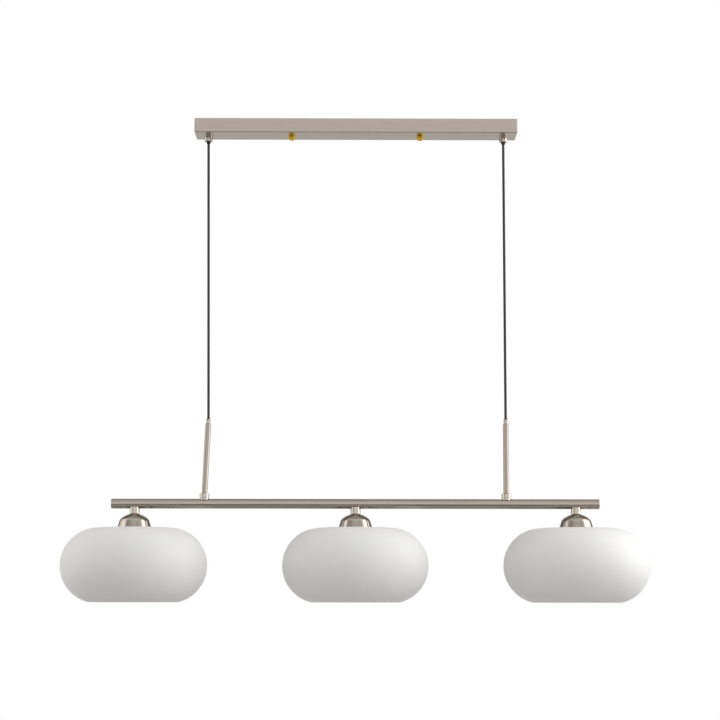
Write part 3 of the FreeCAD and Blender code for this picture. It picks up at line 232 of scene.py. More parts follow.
# %% [markdown]
# Three area lamps stand in this room. Two are the soft boxes. The right one is the larger and the
# brighter, so the right shade gets more light than the left one, as in the photograph. The widths
# come from the bands on the domes: a box that is as wide as it is far away fills 53 degrees of
# the room. The third is a low, wide window behind the camera, to the right, which lights the
# fronts of the shades.

# %% Hang the soft boxes
LAMP_CENTRE = Vector((0, 0, -0.62))


def soft_box(name, side, rise, distance, size, brightness, code):
    """An area lamp so many degrees to the right of the camera and above the horizon.

    It is aimed at the pendant. A mirror would show its brightness, where 1 is white."""
    light = bpy.data.lights.new(name, "AREA")
    light.shape = "RECTANGLE"
    light.size, light.size_y = size
    light.energy = brightness * math.pi * size[0] * size[1]
    light.color = linear(code)[:3]
    box = bpy.data.objects.new(name, light)
    bpy.context.scene.collection.objects.link(box)
    side, rise = math.radians(side), math.radians(rise)
    back = Vector((math.sin(side) * math.cos(rise), -math.cos(side) * math.cos(rise),
                   math.sin(rise)))
    box.matrix_world = (Matrix.Translation(LAMP_CENTRE + back * distance)
                        @ back.to_track_quat("Z", "Y").to_matrix().to_4x4())
    box.visible_camera = False
    print(name, "stands at", tuple(round(v, 2) for v in box.location))
    return box


soft_box("right_soft_box", side=93, rise=19, distance=2.8, size=(2.8, 2.9), brightness=2.05,
         code="#FFFFFF")
soft_box("left_soft_box", side=-97, rise=10, distance=1.7, size=(1.5, 1.8), brightness=0.95,
         code="#FFFDFA")
window = soft_box("window", side=32, rise=15.6, distance=2.9, size=(4.8, 0.86),
                  brightness=0.85, code="#FFFEFC")
# In mirrors, the bright strip of the front wall takes its place
window.visible_glossy = False

# %% [markdown]
# The floor lies 2.4 m under the ceiling, out of the picture. A disc is enough for it. It isn't a
# part of the lamp.

# %% Lay the floor
FLOOR_HEIGHT, FLOOR_RADIUS = -2.4, 2.0
bm = bmesh.new()
bmesh.ops.create_circle(bm, cap_ends=True, segments=96, radius=FLOOR_RADIUS)
bmesh.ops.translate(bm, vec=(0, 0, FLOOR_HEIGHT), verts=bm.verts)
floor = bpy.data.objects.new("floor", bpy.data.meshes.new("floor"))
bm.to_mesh(floor.data)
bm.free()
bpy.context.scene.collection.objects.link(floor)
print("the floor is", 2 * FLOOR_RADIUS, "m across, at a height of", FLOOR_HEIGHT, "m")

# %% [markdown]
# It is covered with matt white studio paper, whose grain is about a millimetre wide. The paper
# takes the lamp's soft shadow. For the camera, in mirrors and through glass it fades into the
# white of the background further out. Its underside lets the view through, because a hanging
# lamp is also looked at from below.

# %% Cover the floor with paper
FADE_FROM = 1.0
paper = bpy.data.materials.new("matt white studio floor")
paper.use_nodes = True
paper.node_tree.nodes.clear()
spot = add(paper, "SeparateXYZ", {"Vector": add(paper, "TexCoord").outputs["Object"]})
flat = add(paper, "CombineXYZ", {"X": spot.outputs["X"], "Y": spot.outputs["Y"]})
away = add(paper, "VectorMath", {0: flat.outputs["Vector"]}, operation="LENGTH")
fade = add(paper, "MapRange", {"Value": away.outputs["Value"], "From Min": FADE_FROM,
                               "From Max": FLOOR_RADIUS}, interpolation_type="SMOOTHSTEP")
ray = add(paper, "LightPath")
direct = add(paper, "Math", {0: ray.outputs["Is Camera Ray"], 1: ray.outputs["Is Glossy Ray"]},
             operation="MAXIMUM")
direct = add(paper, "Math", {0: direct.outputs[0], 1: ray.outputs["Is Transmission Ray"]},
             operation="MAXIMUM")
amount = add(paper, "Math", {0: fade.outputs["Result"], 1: direct.outputs[0]},
             operation="MULTIPLY")
grain = add(paper, "TexNoise", {"Vector": add(paper, "TexCoord").outputs["Object"],
                                "Scale": 900.0, "Detail": 2.0})
bumps = add(paper, "Bump", {"Height": grain.outputs["Fac"], "Strength": 0.1, "Distance": 0.0005})
matt = add(paper, "BsdfDiffuse", {"Color": linear("#DEDDDA"), "Normal": bumps.outputs["Normal"]})
glow = add(paper, "Emission", {"Color": (1, 1, 1, 1), "Strength": 1.0})
sheet = add(paper, "MixShader", {0: amount.outputs[0], 1: matt.outputs[0], 2: glow.outputs[0]})
under = add(paper, "NewGeometry")
floor_look = add(paper, "MixShader", {0: under.outputs["Backfacing"], 1: sheet.outputs[0],
                                      2: add(paper, "BsdfTransparent").outputs[0]})
add(paper, "OutputMaterial", {"Surface": floor_look.outputs[0]})
floor.data.materials.append(paper)
print("finish:", paper.name)

# %% [markdown]
# ## The cords
#
# Each black cord is a round flex, 4.8 mm thick. Its free length of 520 mm hangs dead straight,
# because the lamp's weight pulls on it. Inside the canopy the cord goes on: the left one lies in
# a loose curve towards the terminal block, and the right one ends in a crimped stop.
#
# A cylinder would do for the straight part, but one tool for both is simpler: a NURBS curve,
# which turns a few points into one smooth line, with a bevel that gives it thickness. The free
# cords get shorter when the lamp is hung higher, and only a mesh can be squashed, so they are
# turned into mesh tubes.

# %% A tube along a smooth line


def smooth_line(name, points, radius=0.0):
    """A NURBS curve through the air near its points, from the first to the last.

    Its thickness is the points' radius times a bevel depth of one metre. The other way round
    works too, but then Blender adds the points' radius of a whole metre to the curve's box."""
    curve = bpy.data.curves.new(name, "CURVE")
    curve.dimensions = "3D"
    curve.resolution_u = 16
    curve.bevel_depth = 1.0 if radius else 0.0
    curve.bevel_resolution = 7
    curve.use_fill_caps = radius > 0
    spline = curve.splines.new("NURBS")
    spline.points.add(len(points) - 1)
    for point, place in zip(spline.points, points):
        point.co = (*place, 1.0)
        point.radius = radius
    spline.order_u = 3
    spline.use_endpoint_u = True
    line = bpy.data.objects.new(name, curve)
    bpy.context.scene.collection.objects.link(line)
    return line


def as_mesh(line):
    """Replace a curve by the mesh that it draws, smooth all round."""
    bpy.context.view_layer.update()
    mesh = bpy.data.meshes.new_from_object(line)
    mesh.name = line.name
    tube = bpy.data.objects.new(line.name + "_tube", mesh)
    bpy.context.scene.collection.objects.link(tube)
    mesh.shade_smooth()
    bpy.data.objects.remove(line)
    return tube


def line_points(points):
    """The places that a smooth line through these points visits."""
    bare = smooth_line("bare_line", points)
    bpy.context.view_layer.update()
    mesh = bpy.data.meshes.new_from_object(bare)
    places = [tuple(v.co) for v in mesh.vertices]
    bpy.data.objects.remove(bare)
    return places


# %% [markdown]
# The free cords start 2.6 mm inside their grip and end 2 mm inside the ferrule of their stem, so
# no end shows. The left stem leans inwards, which gives its cord a slant of half a degree.
#
# The lamp can be hung 350 mm higher. Then 170 mm of each free cord are left.

# %% Hang the free cords


def stand_in(piece, body, node):
    """Fix a piece to a body, in place of a CAD piece, which is hidden."""
    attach(piece, body)
    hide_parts(node)
    return piece


SIDES = {"left": -1, "right": 1}
CORD_X, CORD_RADIUS = 0.2755, 0.0024
SWING_AXIS = -0.038
INSIDE_GRIP, INSIDE_FERRULE = 0.0026, 0.002
tips = {"left": (-0.26978, -0.55812), "right": (CORD_X, -0.558)}
free_cords = {}
for side, (tip_x, tip_z) in tips.items():
    top = Vector((SIDES[side] * CORD_X, 0, SWING_AXIS))
    tip = Vector((tip_x, 0, tip_z))
    along = (tip - top).normalized()
    start, end = top - along * INSIDE_GRIP, tip + along * INSIDE_FERRULE
    route = [start, start.lerp(end, 0.35), start.lerp(end, 0.65), end]
    cord = as_mesh(smooth_line(f"free_cord_{side}", route, CORD_RADIUS))
    stand_in(cord, f"{side}_cord", f"cord_{side}")
    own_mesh(cord)
    line_points(route)
    free_cords[side] = cord
    print(cord.name, "is", round((end - start).length * 1000), "mm long")

# %% [markdown]
# Inside the canopy each cord rises out of its grip and bends over at once, because there are only
# 26 mm to the ceiling. It then sags onto the canopy's floor. A cord of PVC is soft enough for
# that, but it makes no sharp corner, so the points of the route stand far apart.

# %% Lay the cords inside the canopy
tail_routes = {
    "left": [(-CORD_X, 0, -0.0344), (-CORD_X, 0, -0.0063), (-0.2415, 0.003, -0.0103),
             (-0.2015, 0.011, -0.0218), (-0.1475, 0.016, -0.0228), (-0.0935, 0.015, -0.0228),
             (-0.0615, 0.009, -0.0198), (-0.034, 0.003, -0.0085)],
    "right": [(CORD_X, 0, -0.0344), (CORD_X, 0, -0.0063), (0.2435, -0.002, -0.0103),
              (0.2135, -0.009, -0.0220), (0.1835, -0.010, -0.0220)],
}
tails = {}
for side, route in tail_routes.items():
    tails[side] = stand_in(smooth_line(f"canopy_cord_{side}", route, CORD_RADIUS),
                           "ceiling_fixture", f"cord_tail_{side}")
print("cords in the canopy:", [tail.name for tail in tails.values()])

# %% [markdown]
# The sheath of the left cord ends before the terminal block, and its three cores fan out into
# the block: brown, blue, and green and yellow for earth. A fourth wire joins the earth pole to a
# screw on the crossbar. Nobody sees them once the lamp hangs, but a lamp that is taken apart
# should have them.

# %% Wire the terminal block
WIRE_RADIUS = 0.0009
POLE_SPACING, POLE_HEIGHT = 0.007, -0.0085
sheath_end = Vector((-0.0332, 0.00282, -0.00816))
fans = {"brown": (-1, (0, -0.000935, -0.00054)), "blue": (0, (0, 0, 0.00108)),
        "earth": (1, (0, 0.000935, -0.00054))}
cores = {}
for name, (pole, beside) in fans.items():
    y = pole * POLE_SPACING
    cores[name] = stand_in(
        smooth_line(f"core_{name}", [sheath_end + Vector(beside), (-0.019, y, POLE_HEIGHT),
                                     (-0.010, y, POLE_HEIGHT)], WIRE_RADIUS),
        "ceiling_fixture", "core_wires")
earth_wire = stand_in(
    smooth_line("earth_lead", [
        (0.010, POLE_SPACING, POLE_HEIGHT), (0.026, POLE_SPACING, POLE_HEIGHT),
        (0.044, 0.015, -0.0075), (0.060, 0.015, -0.0055), (0.070, 0.0116, -0.0039)],
        WIRE_RADIUS),
    "ceiling_fixture", "earth_wire")
print("wires at the block:", [*cores, "earth lead"])

# %% [markdown]
# A cord runs down inside each stem, from its ferrule to the bar, and the left one leans with its
# stem. Four wires lie side by side along the bar, and a pair drops into the lampholder of each
# of the three heads.

# %% Wire the stems and the bar
STEM_LEAN = {"left": math.radians(2.4), "right": 0.0}
STEM_FOOT = -0.6945
stem_cords = {}
for side, sign in SIDES.items():
    lean = STEM_LEAN[side]
    up = Vector((math.sin(lean), 0, math.cos(lean)))
    foot = Vector((sign * CORD_X, 0, STEM_FOOT))
    route = [foot + up * rise for rise in (-0.0165, 0.03, 0.09, 0.1335)]
    stem_cords[side] = stand_in(smooth_line(f"stem_cord_{side}", route, CORD_RADIUS),
                                "hanging_frame", "stem_cords")

HEADS = {"left": -0.4025, "middle": 0.0, "right": 0.4025}
REACH = HEADS["right"] + 0.0016
BUNDLE = 0.00127
wire_routes = {}
for i, (y, z) in enumerate([(BUNDLE, 0), (0, BUNDLE), (-BUNDLE, 0), (0, -BUNDLE)]):
    wire_routes[f"bar_wire_{i + 1}"] = [(x, y, BAR_AXIS + z) for x in (-REACH, -0.1, 0.1, REACH)]
DROP_RADIUS = 0.0008
for head, x in HEADS.items():
    for i, beside in enumerate((-DROP_RADIUS, DROP_RADIUS)):
        wire_routes[f"drop_wire_{head}_{i + 1}"] = [
            (x + beside, 0, z) for z in (BAR_AXIS, -0.72, -0.735, -0.7494)]
bar_wires = [stand_in(smooth_line(name, route, WIRE_RADIUS if "bar" in name else DROP_RADIUS),
                      "hanging_frame", "bar_wiring")
             for name, route in wire_routes.items()]
print(len(bar_wires), "wires in the bar, and", len(stem_cords), "cords in the stems")

# %% [markdown]
# ## Threads and ribs
#
# CAD keeps a thread as a plain cylinder, so that nothing jams when it turns. On the real lamp the
# thread of each bulb's cap is rolled into thin sheet, the lampholder has a moulded one that the
# shade ring screws onto, the ring has ribs for the fingers, and the two studs are cut to M4.
#
# Such a shape could be spun from a profile. Here a merged copy of the CAD piece is cut into thin
# slices by planes, and a wave moves its points towards the axis. Everything that isn't thread
# stays exactly as CAD made it, and nothing grows outwards into its mate.

# %% Cut a wave into a copy of a CAD piece
SAME_POINT = 0.000001
ON_AXIS = 0.0001
ON_RADIUS = 0.00006
SHARP_EDGE = math.radians(40)


def cut_wave(node, name, body, slot, planes, inwards, axes=(0.0,)):
    """Copy a CAD piece, slice it along planes, and move each point towards its own axis.

    The function inwards gives the distance from a point's radius, angle and height."""
    bm = bmesh.new()
    bm.from_mesh(nodes[node].data)
    bmesh.ops.remove_doubles(bm, verts=bm.verts, dist=SAME_POINT)
    for spot, direction in planes:
        bmesh.ops.bisect_plane(bm, geom=bm.verts[:] + bm.edges[:] + bm.faces[:],
                               dist=SAME_POINT / 2, plane_co=spot, plane_no=direction)
    for vert in bm.verts:
        axis = Vector((min(axes, key=lambda x: abs(vert.co.x - x)), 0, vert.co.z))
        arm = vert.co - axis
        if arm.length > ON_AXIS:
            shift = inwards(arm.length, math.atan2(arm.y, arm.x), vert.co.z)
            vert.co = axis + arm * (1 - shift / arm.length)
    piece = bpy.data.objects.new(name, bpy.data.meshes.new(name))
    bm.to_mesh(piece.data)
    bm.free()
    piece.data.shade_smooth()
    piece.data.set_sharp_from_angle(angle=SHARP_EDGE)
    bpy.context.scene.collection.objects.link(piece)
    return stand_in(piece, body, node)


# %% [markdown]
# An M4 thread has a pitch of 0.7 mm. Four slices for each turn are enough at this size. Both
# studs are one CAD piece, so each point moves towards the nearer of the two axes.

# %% Thread the studs


def wave(turns):
    """A smooth wave between 0 and 1, with its crests at the half turns."""
    return 0.5 - 0.5 * math.cos(2 * math.pi * turns)


def thread(low, high, pitch, rows, depth, radii):
    """The slicing planes and the wave of a thread, which fades out over its last half turns."""
    planes = [((0, 0, low + i * pitch / rows), (0, 0, 1))
              for i in range(int((high - low) / pitch * rows) + 1)]

    def inwards(radius, angle, height):
        if min(abs(radius - r) for r in radii) > ON_RADIUS:
            return 0.0
        fade = min(height - low, high - height) / (pitch / 2)
        return max(0.0, min(1.0, fade)) * depth * wave(height / pitch - angle / (2 * math.pi))

    return planes, inwards


STUD_X, STUD_RADIUS = 0.12, 0.002
threaded = {"studs": cut_wave(
    "bracket_studs", "threaded_studs", "ceiling_fixture", "zinc_steel",
    *thread(low=-0.0314, high=-0.0041, pitch=0.0007, rows=4, depth=0.0003,
            radii=[STUD_RADIUS]), axes=(-STUD_X, STUD_X))}
print("the studs have", len(threaded["studs"].data.polygons), "faces")

# %% [markdown]
# The bulb's cap is an E27: a pitch of 3.629 mm, and a thread 0.9 mm deep in sheet half a
# millimetre thick, so the inner side of the sheet follows. The lampholder's outer thread has a
# pitch of 2.5 mm. The ring's 24 ribs stand all round its hub, so its planes go through the axis.

# %% Thread the lampholders and the bulbs' caps, and rib the rings
CAP_OUTSIDE, CAP_INSIDE, HOLDER_RADIUS = 0.01327, 0.01277, 0.0196
RIBS, RIB_DEPTH = 24, 0.0007
RING_HUB, RING_FLANGE_FOOT = 0.0235, -0.7656


def rib_wave(radius, angle, height):
    """The ribs' distance inwards on the ring's hub, and none anywhere else."""
    if abs(radius - RING_HUB) > ON_RADIUS or height > RING_FLANGE_FOOT:
        return 0.0
    return RIB_DEPTH * wave(RIBS * angle / (2 * math.pi))


for head, x in HEADS.items():
    slices = [((x, 0, 0), (math.sin(a), -math.cos(a), 0))
              for a in (math.pi * i / (3 * RIBS) for i in range(3 * RIBS))]
    threaded[f"cap_{head}"] = cut_wave(
        f"lamp_cap_{head}", f"screw_cap_{head}", f"{head}_lamp", "lamp_metal",
        *thread(low=-0.7750, high=-0.7588, pitch=0.003629, rows=10, depth=0.0009,
                radii=[CAP_OUTSIDE, CAP_INSIDE]), axes=(x,))
    threaded[f"holder_{head}"] = cut_wave(
        f"lampholder_{head}", f"threaded_holder_{head}", "hanging_frame", "holder_plastic",
        *thread(low=-0.7826, high=-0.7478, pitch=0.0025, rows=8, depth=0.0007,
                radii=[HOLDER_RADIUS]), axes=(x,))
    threaded[f"ring_{head}"] = cut_wave(
        f"shade_ring_{head}", f"ribbed_ring_{head}", f"{head}_shade_ring", "ring_plastic",
        slices, rib_wave, axes=(x,))
    print(head, {name: len(threaded[f"{name}_{head}"].data.polygons)
                 for name in ("cap", "holder", "ring")}, "faces")

# %% [markdown]
# ## Finishes
#
# Every finish starts from one recipe, the Principled shader, and from what the real surface is.
# A piece's Object coordinates are the lamp's own metres, so a pattern with a scale of 1000 takes
# one step in each millimetre.
#
# No real surface is the same all over. So each finish has a pattern or two, which change its
# colour or its roughness, or raise it by a tenth of a millimetre at most.

# %% A shader to start from


def finish(name, code, **values):
    """A material named for its finish, with a Principled shader that has this plain colour."""
    material = bpy.data.materials.new(name)
    material.use_nodes = True
    material.node_tree.nodes.clear()
    inputs = {"Base Color": linear(code)}
    inputs.update({key.replace("_", " "): value for key, value in values.items()})
    shader = add(material, "BsdfPrincipled", inputs)
    add(material, "OutputMaterial", {"Surface": shader.outputs["BSDF"]})
    print("finish:", name)
    return material, shader


# %% [markdown]
# ### Satin nickel
#
# The canopy, the bar, the stems, their ferrules and the domes are nickel plated and then brushed
# with a fine abrasive belt. Brushing leaves short scratches in one direction: lengthwise on the
# canopy and the bar, up and down on the stems, and from the crown to the rim on the domes. To the
# eye that gives soft, silky reflections with a faint streak along the brushing.
#
# Noise that is stretched in one direction draws such scratches. Real ones are a tenth of a
# millimetre apart. They are drawn 0.9 mm apart here, because finer ones wouldn't show. Each is
# about 80 mm long, and clouds 36 mm across make the brushing a little uneven.

# %% Brushed satin nickel
SCRATCHES_PER_METRE = 1100.0
SCRATCH_LENGTHS_PER_METRE = 12.0
SCRATCHES_PER_CIRCLE_RADIUS = 30.0


def wrapped_to_head(material, coordinates):
    """Coordinates whose X is measured from the nearest shade's middle."""
    parts = add(material, "SeparateXYZ", {"Vector": coordinates})
    half = HEADS["right"] / 2
    x = add(material, "Math", {0: parts.outputs["X"], 1: half, 2: -half}, operation="WRAP")
    return x.outputs[0], parts.outputs["Y"], parts.outputs["Z"]


def brushed_nickel(name, along, code_dark, code_light, roughness):
    """Nickel with scratches along the axis x or z, or in rays from a shade's middle."""
    material, shader = finish(name, code_light, Metallic=1.0, Roughness=roughness)
    place = add(material, "TexCoord").outputs["Object"]
    if along == "rays":
        x, y, z = wrapped_to_head(material, place)
        flat = add(material, "CombineXYZ", {"X": x, "Y": y})
        arm = add(material, "VectorMath", {0: flat.outputs[0]}, operation="NORMALIZE")
        # At a dome's rim, this puts the scratches about 1 mm apart
        arm = add(material, "VectorMath", {0: arm.outputs[0],
                                           "Scale": SCRATCHES_PER_CIRCLE_RADIUS},
                  operation="SCALE")
        rise = add(material, "CombineXYZ", {"Z": z})
        rise = add(material, "VectorMath", {0: rise.outputs[0],
                                            "Scale": SCRATCH_LENGTHS_PER_METRE},
                   operation="SCALE")
        stretched = add(material, "VectorMath", {0: arm.outputs[0], 1: rise.outputs[0]},
                        operation="ADD")
    else:
        scales = [SCRATCHES_PER_METRE] * 3
        scales["xyz".index(along)] = SCRATCH_LENGTHS_PER_METRE
        stretched = add(material, "Mapping", {"Vector": place, "Scale": scales})
    scratches = add(material, "TexNoise", {"Vector": stretched.outputs[0], "Scale": 1.0,
                                           "Detail": 3.0, "Roughness": 0.6}).outputs["Fac"]
    clouds = add(material, "TexNoise", {"Vector": place, "Scale": 28.0,
                                        "Detail": 2.0}).outputs["Fac"]
    add(material, "ValToRGB", {"Fac": scratches}, into=shader.inputs["Base Color"],
        stops=[(0.3, code_dark), (0.7, code_light)])
    uneven = add(material, "Math", {0: scratches, 1: clouds}, operation="MULTIPLY").outputs[0]
    add(material, "MapRange", {"Value": uneven, "To Min": roughness - 0.03,
                               "To Max": roughness + 0.05}, into=shader.inputs["Roughness"])
    add(material, "Bump", {"Height": scratches, "Strength": 0.25, "Distance": 0.000004},
        into=shader.inputs["Normal"])
    return material


nickel_lengthwise = brushed_nickel("satin nickel brushed lengthwise", "x", "#9B928B", "#A59D95",
                                   roughness=0.22)
nickel_upright = brushed_nickel("satin nickel brushed upright", "z", "#968E86", "#A0978F",
                                roughness=0.13)
nickel_rays = brushed_nickel("satin nickel brushed from crown to rim", "rays", "#A39A91",
                             "#ACA69F", roughness=0.19)

# %% [markdown]
# ### Polished nickel
#
# The grips, collars and necks are nickel too, but buffed on a cloth wheel. They are almost
# mirrors, with a warm tint. A mirror with no fault looks like plastic, so faint smears from
# handling, 6 mm across, change its roughness from place to place. The wheel leaves hair-thin
# rings, which are drawn 0.4 mm apart, because finer ones wouldn't show.

# %% Polished nickel
polished_nickel, shader = finish("polished nickel", "#B2ACA3", Metallic=1.0, Roughness=0.07)
place = add(polished_nickel, "TexCoord").outputs["Object"]
smears = add(polished_nickel, "TexNoise", {"Vector": place, "Scale": 160.0, "Detail": 4.0,
                                           "Distortion": 0.6}).outputs["Fac"]
add(polished_nickel, "MapRange", {"Value": smears, "To Min": 0.03, "To Max": 0.14},
    into=shader.inputs["Roughness"])
rings = add(polished_nickel, "Mapping", {"Vector": place, "Scale": (40.0, 40.0, 2400.0)})
buffing = add(polished_nickel, "TexNoise", {"Vector": rings.outputs[0], "Scale": 1.0,
                                            "Detail": 2.0}).outputs["Fac"]
add(polished_nickel, "Bump", {"Height": buffing, "Strength": 0.08, "Distance": 0.00002},
    into=shader.inputs["Normal"])

# %% [markdown]
# ### Brass
#
# The two cap nuts are turned from solid brass rod and polished, without lacquer. Brass is a
# metal whose own colour is deep yellow, and where it is touched it dulls to a browner tone, in
# spots about 4.5 mm wide. Turning leaves rings, drawn a third of a millimetre apart.

# %% Polished brass
brass, shader = finish("polished brass", "#D8B24C", Metallic=1.0, Roughness=0.14)
place = add(brass, "TexCoord").outputs["Object"]
tarnish = add(brass, "TexNoise", {"Vector": place, "Scale": 220.0, "Detail": 5.0}).outputs["Fac"]
add(brass, "ValToRGB", {"Fac": tarnish}, into=shader.inputs["Base Color"],
    stops=[(0.35, "#CBA23E"), (0.6, "#E2C05A")])
add(brass, "MapRange", {"Value": tarnish, "To Min": 0.08, "To Max": 0.24},
    into=shader.inputs["Roughness"])
rings = add(brass, "Mapping", {"Vector": place, "Scale": (60.0, 60.0, 3000.0)})
turning = add(brass, "TexNoise", {"Vector": rings.outputs[0], "Scale": 1.0}).outputs["Fac"]
add(brass, "Bump", {"Height": turning, "Strength": 0.1, "Distance": 0.00002},
    into=shader.inputs["Normal"])

# %% [markdown]
# ### Black cord and rubber
#
# The cord's sheath is extruded PVC, smooth with a slight gloss and a very fine orange peel. The
# bushes are moulded rubber: just as black, but matt. The real grain of both is a tenth of a
# millimetre or two. It is drawn 0.7 and 0.45 mm wide, so that it shows.

# %% PVC and rubber


def black_soft(name, code, low, high, grains_per_metre, depth):
    """Black plastic or rubber, whose roughness goes from low to high in patches of 17 mm."""
    material, shader = finish(name, code, Roughness=(low + high) / 2, IOR=1.5)
    place = add(material, "TexCoord").outputs["Object"]
    patches = add(material, "TexNoise", {"Vector": place, "Scale": 60.0,
                                         "Detail": 2.0}).outputs["Fac"]
    add(material, "MapRange", {"Value": patches, "To Min": low, "To Max": high},
        into=shader.inputs["Roughness"])
    peel = add(material, "TexNoise", {"Vector": place, "Scale": grains_per_metre,
                                      "Detail": 3.0}).outputs["Fac"]
    add(material, "Bump", {"Height": peel, "Strength": 0.3, "Distance": depth},
        into=shader.inputs["Normal"])
    return material


cord_pvc = black_soft("black PVC cord sheath", "#0D0D0D", low=0.34, high=0.5,
                      grains_per_metre=1400.0, depth=0.00005)
rubber = black_soft("moulded black rubber", "#111110", low=0.6, high=0.8,
                    grains_per_metre=2200.0, depth=0.00004)

# %% [markdown]
# ### Opal glass
#
# The shades are blown opal glass: white all through, with an etched surface that kills every
# highlight. Light goes in, scatters and comes out again a little further on, which softens the
# shading from the lit to the dark side. Subsurface scattering does that, over 12 mm.
#
# The blown wall is never quite even, which a faint noise of 110 mm imitates. The etching is an
# even grain, far too fine to see. It is drawn 0.55 mm wide, so that it shows close by.

# %% Opal glass


def opal(name, code_thin, code_thick, roughness, scatter, etch):
    """White glass that scatters light, with an etched grain of this strength."""
    material, shader = finish(name, code_thick, Roughness=roughness, IOR=1.5,
                              Subsurface_Weight=scatter, Subsurface_Scale=0.012,
                              Subsurface_Radius=(1.0, 0.96, 0.92))
    place = add(material, "TexCoord").outputs["Object"]
    wall = add(material, "TexNoise", {"Vector": place, "Scale": 9.0, "Detail": 2.0})
    add(material, "ValToRGB", {"Fac": wall.outputs["Fac"]}, into=shader.inputs["Base Color"],
        stops=[(0.3, code_thin), (0.7, code_thick)])
    frost = add(material, "TexNoise", {"Vector": place, "Scale": 1800.0,
                                       "Detail": 2.0}).outputs["Fac"]
    add(material, "MapRange", {"Value": frost, "To Min": roughness - 0.05,
                               "To Max": roughness + 0.05}, into=shader.inputs["Roughness"])
    add(material, "Bump", {"Height": frost, "Strength": etch, "Distance": 0.00005},
        into=shader.inputs["Normal"])
    return material


shade_glass = opal("etched opal glass", "#F5F5F3", "#F8F8F7", roughness=0.62, scatter=0.35,
                   etch=0.2)
lamp_glass = opal("opal coated lamp glass", "#F3F2EE", "#F7F6F3", roughness=0.3, scatter=0.25,
                  etch=0.05)

# %% [markdown]
# ### Steel and sheet metal
#
# Inside the canopy and the shades are the plain working parts. The crossbar, its studs and the
# small screws and nuts are zinc plated steel, whose crystals, 2 mm across, catch the light a
# little differently. The bulbs' caps and the contacts are thin sheet metal, with shallow dents
# of 2 to 3 mm and dull spots where fingers held them.

# %% Zinc plated steel and thin sheet
zinc, shader = finish("zinc plated steel", "#C3C6C9", Metallic=1.0, Roughness=0.34)
crystals = add(zinc, "TexVoronoi", {"Vector": add(zinc, "TexCoord").outputs["Object"],
                                    "Scale": 450.0}).outputs["Distance"]
add(zinc, "ValToRGB", {"Fac": crystals}, into=shader.inputs["Base Color"],
    stops=[(0.1, "#B3B7BA"), (0.7, "#CCCFD1")])
add(zinc, "MapRange", {"Value": crystals, "To Min": 0.26, "To Max": 0.44},
    into=shader.inputs["Roughness"])


def thin_sheet(name, code):
    """Sheet metal, rolled and handled."""
    material, shader = finish(name, code, Metallic=1.0, Roughness=0.2)
    place = add(material, "TexCoord").outputs["Object"]
    dents = add(material, "TexNoise", {"Vector": place, "Scale": 420.0, "Detail": 2.0})
    add(material, "Bump", {"Height": dents.outputs["Fac"], "Strength": 0.2,
                           "Distance": 0.0001}, into=shader.inputs["Normal"])
    handling = add(material, "TexNoise", {"Vector": place, "Scale": 300.0, "Detail": 3.0})
    add(material, "MapRange", {"Value": handling.outputs["Fac"], "To Min": 0.12,
                               "To Max": 0.34}, into=shader.inputs["Roughness"])
    return material


lamp_cap_metal = thin_sheet("nickel plated lamp cap", "#C9C8C6")
contact_brass = thin_sheet("brass socket sheet", "#CDB374")

# %% [markdown]
# ### Moulded plastics
#
# The lampholders and the shade rings are moulded from white thermoplastic, the terminal block
# from cream polyamide, and the wires have coloured sleeves. Their moulds leave a slight, even
# texture. It is finer in reality and is drawn 0.7 mm wide, so that it shows.

# %% Plastics


def plastic(name, code_low, code_high, roughness):
    """Plastic with the spark-eroded texture of its mould, mottled in two colours."""
    material, shader = finish(name, code_high, Roughness=roughness, IOR=1.5)
    texture = add(material, "TexNoise", {"Vector": add(material, "TexCoord").outputs["Object"],
                                         "Scale": 1500.0, "Detail": 3.0}).outputs["Fac"]
    add(material, "ValToRGB", {"Fac": texture}, into=shader.inputs["Base Color"],
        stops=[(0.35, code_low), (0.65, code_high)])
    add(material, "MapRange", {"Value": texture, "To Min": roughness - 0.08,
                               "To Max": roughness + 0.08}, into=shader.inputs["Roughness"])
    add(material, "Bump", {"Height": texture, "Strength": 0.25, "Distance": 0.00005},
        into=shader.inputs["Normal"])
    return material


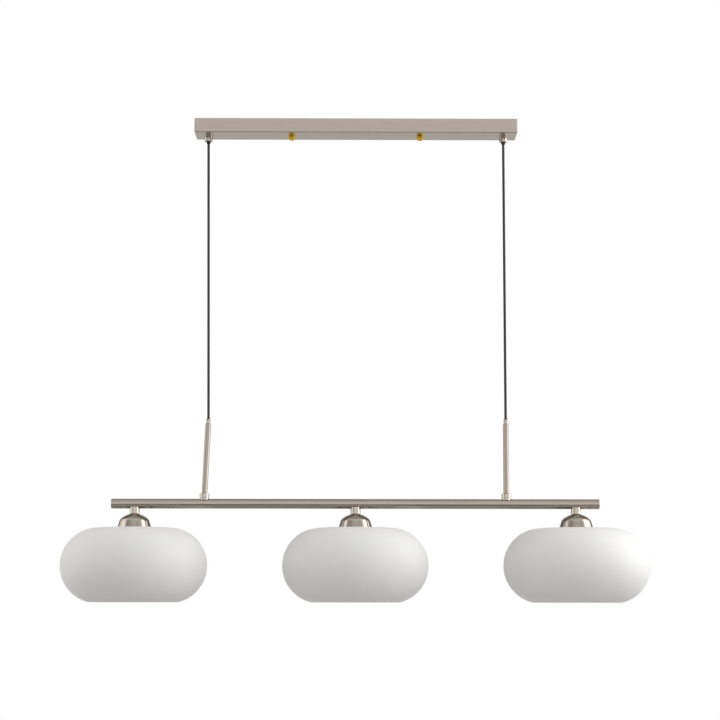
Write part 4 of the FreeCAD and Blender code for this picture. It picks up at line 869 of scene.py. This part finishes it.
holder_plastic = plastic("white PET lampholder", "#E2DFD8", "#EAE7E0", roughness=0.42)
ring_plastic = plastic("white PET shade ring", "#E0DDD6", "#E9E6DF", roughness=0.45)
block_plastic = plastic("natural polyamide block", "#E6E3DA", "#EFECE4", roughness=0.5)
brown_wire = plastic("brown wire insulation", "#5A3522", "#633B27", roughness=0.34)
blue_wire = plastic("blue wire insulation", "#1F4E8C", "#25589B", roughness=0.34)
earth_stripes = plastic("green and yellow wire insulation", "#3E7F2B", "#D8C62E",
                        roughness=0.34)

# %% [markdown]
# ## Dress the frame
#
# The CAD pieces already have the right shape, so each only gets its finish. Their meshes stay
# as they are. Most pieces come once for each side or each shade, and the rest by name.

# %% Give each CAD piece its finish


def dress(material, *names):
    """Put a finish on CAD pieces, through their own material slots."""
    print(material.name, "on", *names)
    for name in names:
        for slot in nodes[name].material_slots:
            slot.material = material
        assert nodes[name].material_slots, name


dress(nickel_lengthwise, "canopy", "bar_tube", "end_cap_left", "end_cap_right")
dress(nickel_upright, "stem_left", "stem_right", "ferrule_left", "ferrule_right")
dress(polished_nickel, "grip_left", "grip_right", "collar_left", "collar_right")
dress(brass, "cap_nut_left", "cap_nut_right")
dress(rubber, "grip_bushes", "stem_bush_left", "stem_bush_right")
dress(zinc, "mounting_bracket", "stud_nuts", "wiring_screws", "grip_lock_nuts",
      "grip_set_screws", "ferrule_screws", "stem_nipples", "stem_saddle_nuts", "neck_nipples",
      "neck_saddle_nuts", "cord_stop")
dress(block_plastic, "terminal_block")
dress(contact_brass, "socket_contacts")
for head in HEADS:
    dress(polished_nickel, f"neck_{head}")
    dress(nickel_rays, f"dome_{head}")
    dress(shade_glass, f"shade_{head}")
    dress(lamp_glass, f"lamp_globe_{head}")
    threaded[f"cap_{head}"].data.materials.append(lamp_cap_metal)
    threaded[f"holder_{head}"].data.materials.append(holder_plastic)
    threaded[f"ring_{head}"].data.materials.append(ring_plastic)
threaded["studs"].data.materials.append(zinc)

for piece in [*free_cords.values(), *tails.values(), *stem_cords.values()]:
    piece.data.materials.clear()
    piece.data.materials.append(cord_pvc)
for name, piece in cores.items():
    piece.data.materials.append({"brown": brown_wire, "blue": blue_wire,
                                 "earth": earth_stripes}[name])
earth_wire.data.materials.append(earth_stripes)
for i, piece in enumerate(bar_wires):
    piece.data.materials.append(brown_wire if i % 2 else blue_wire)
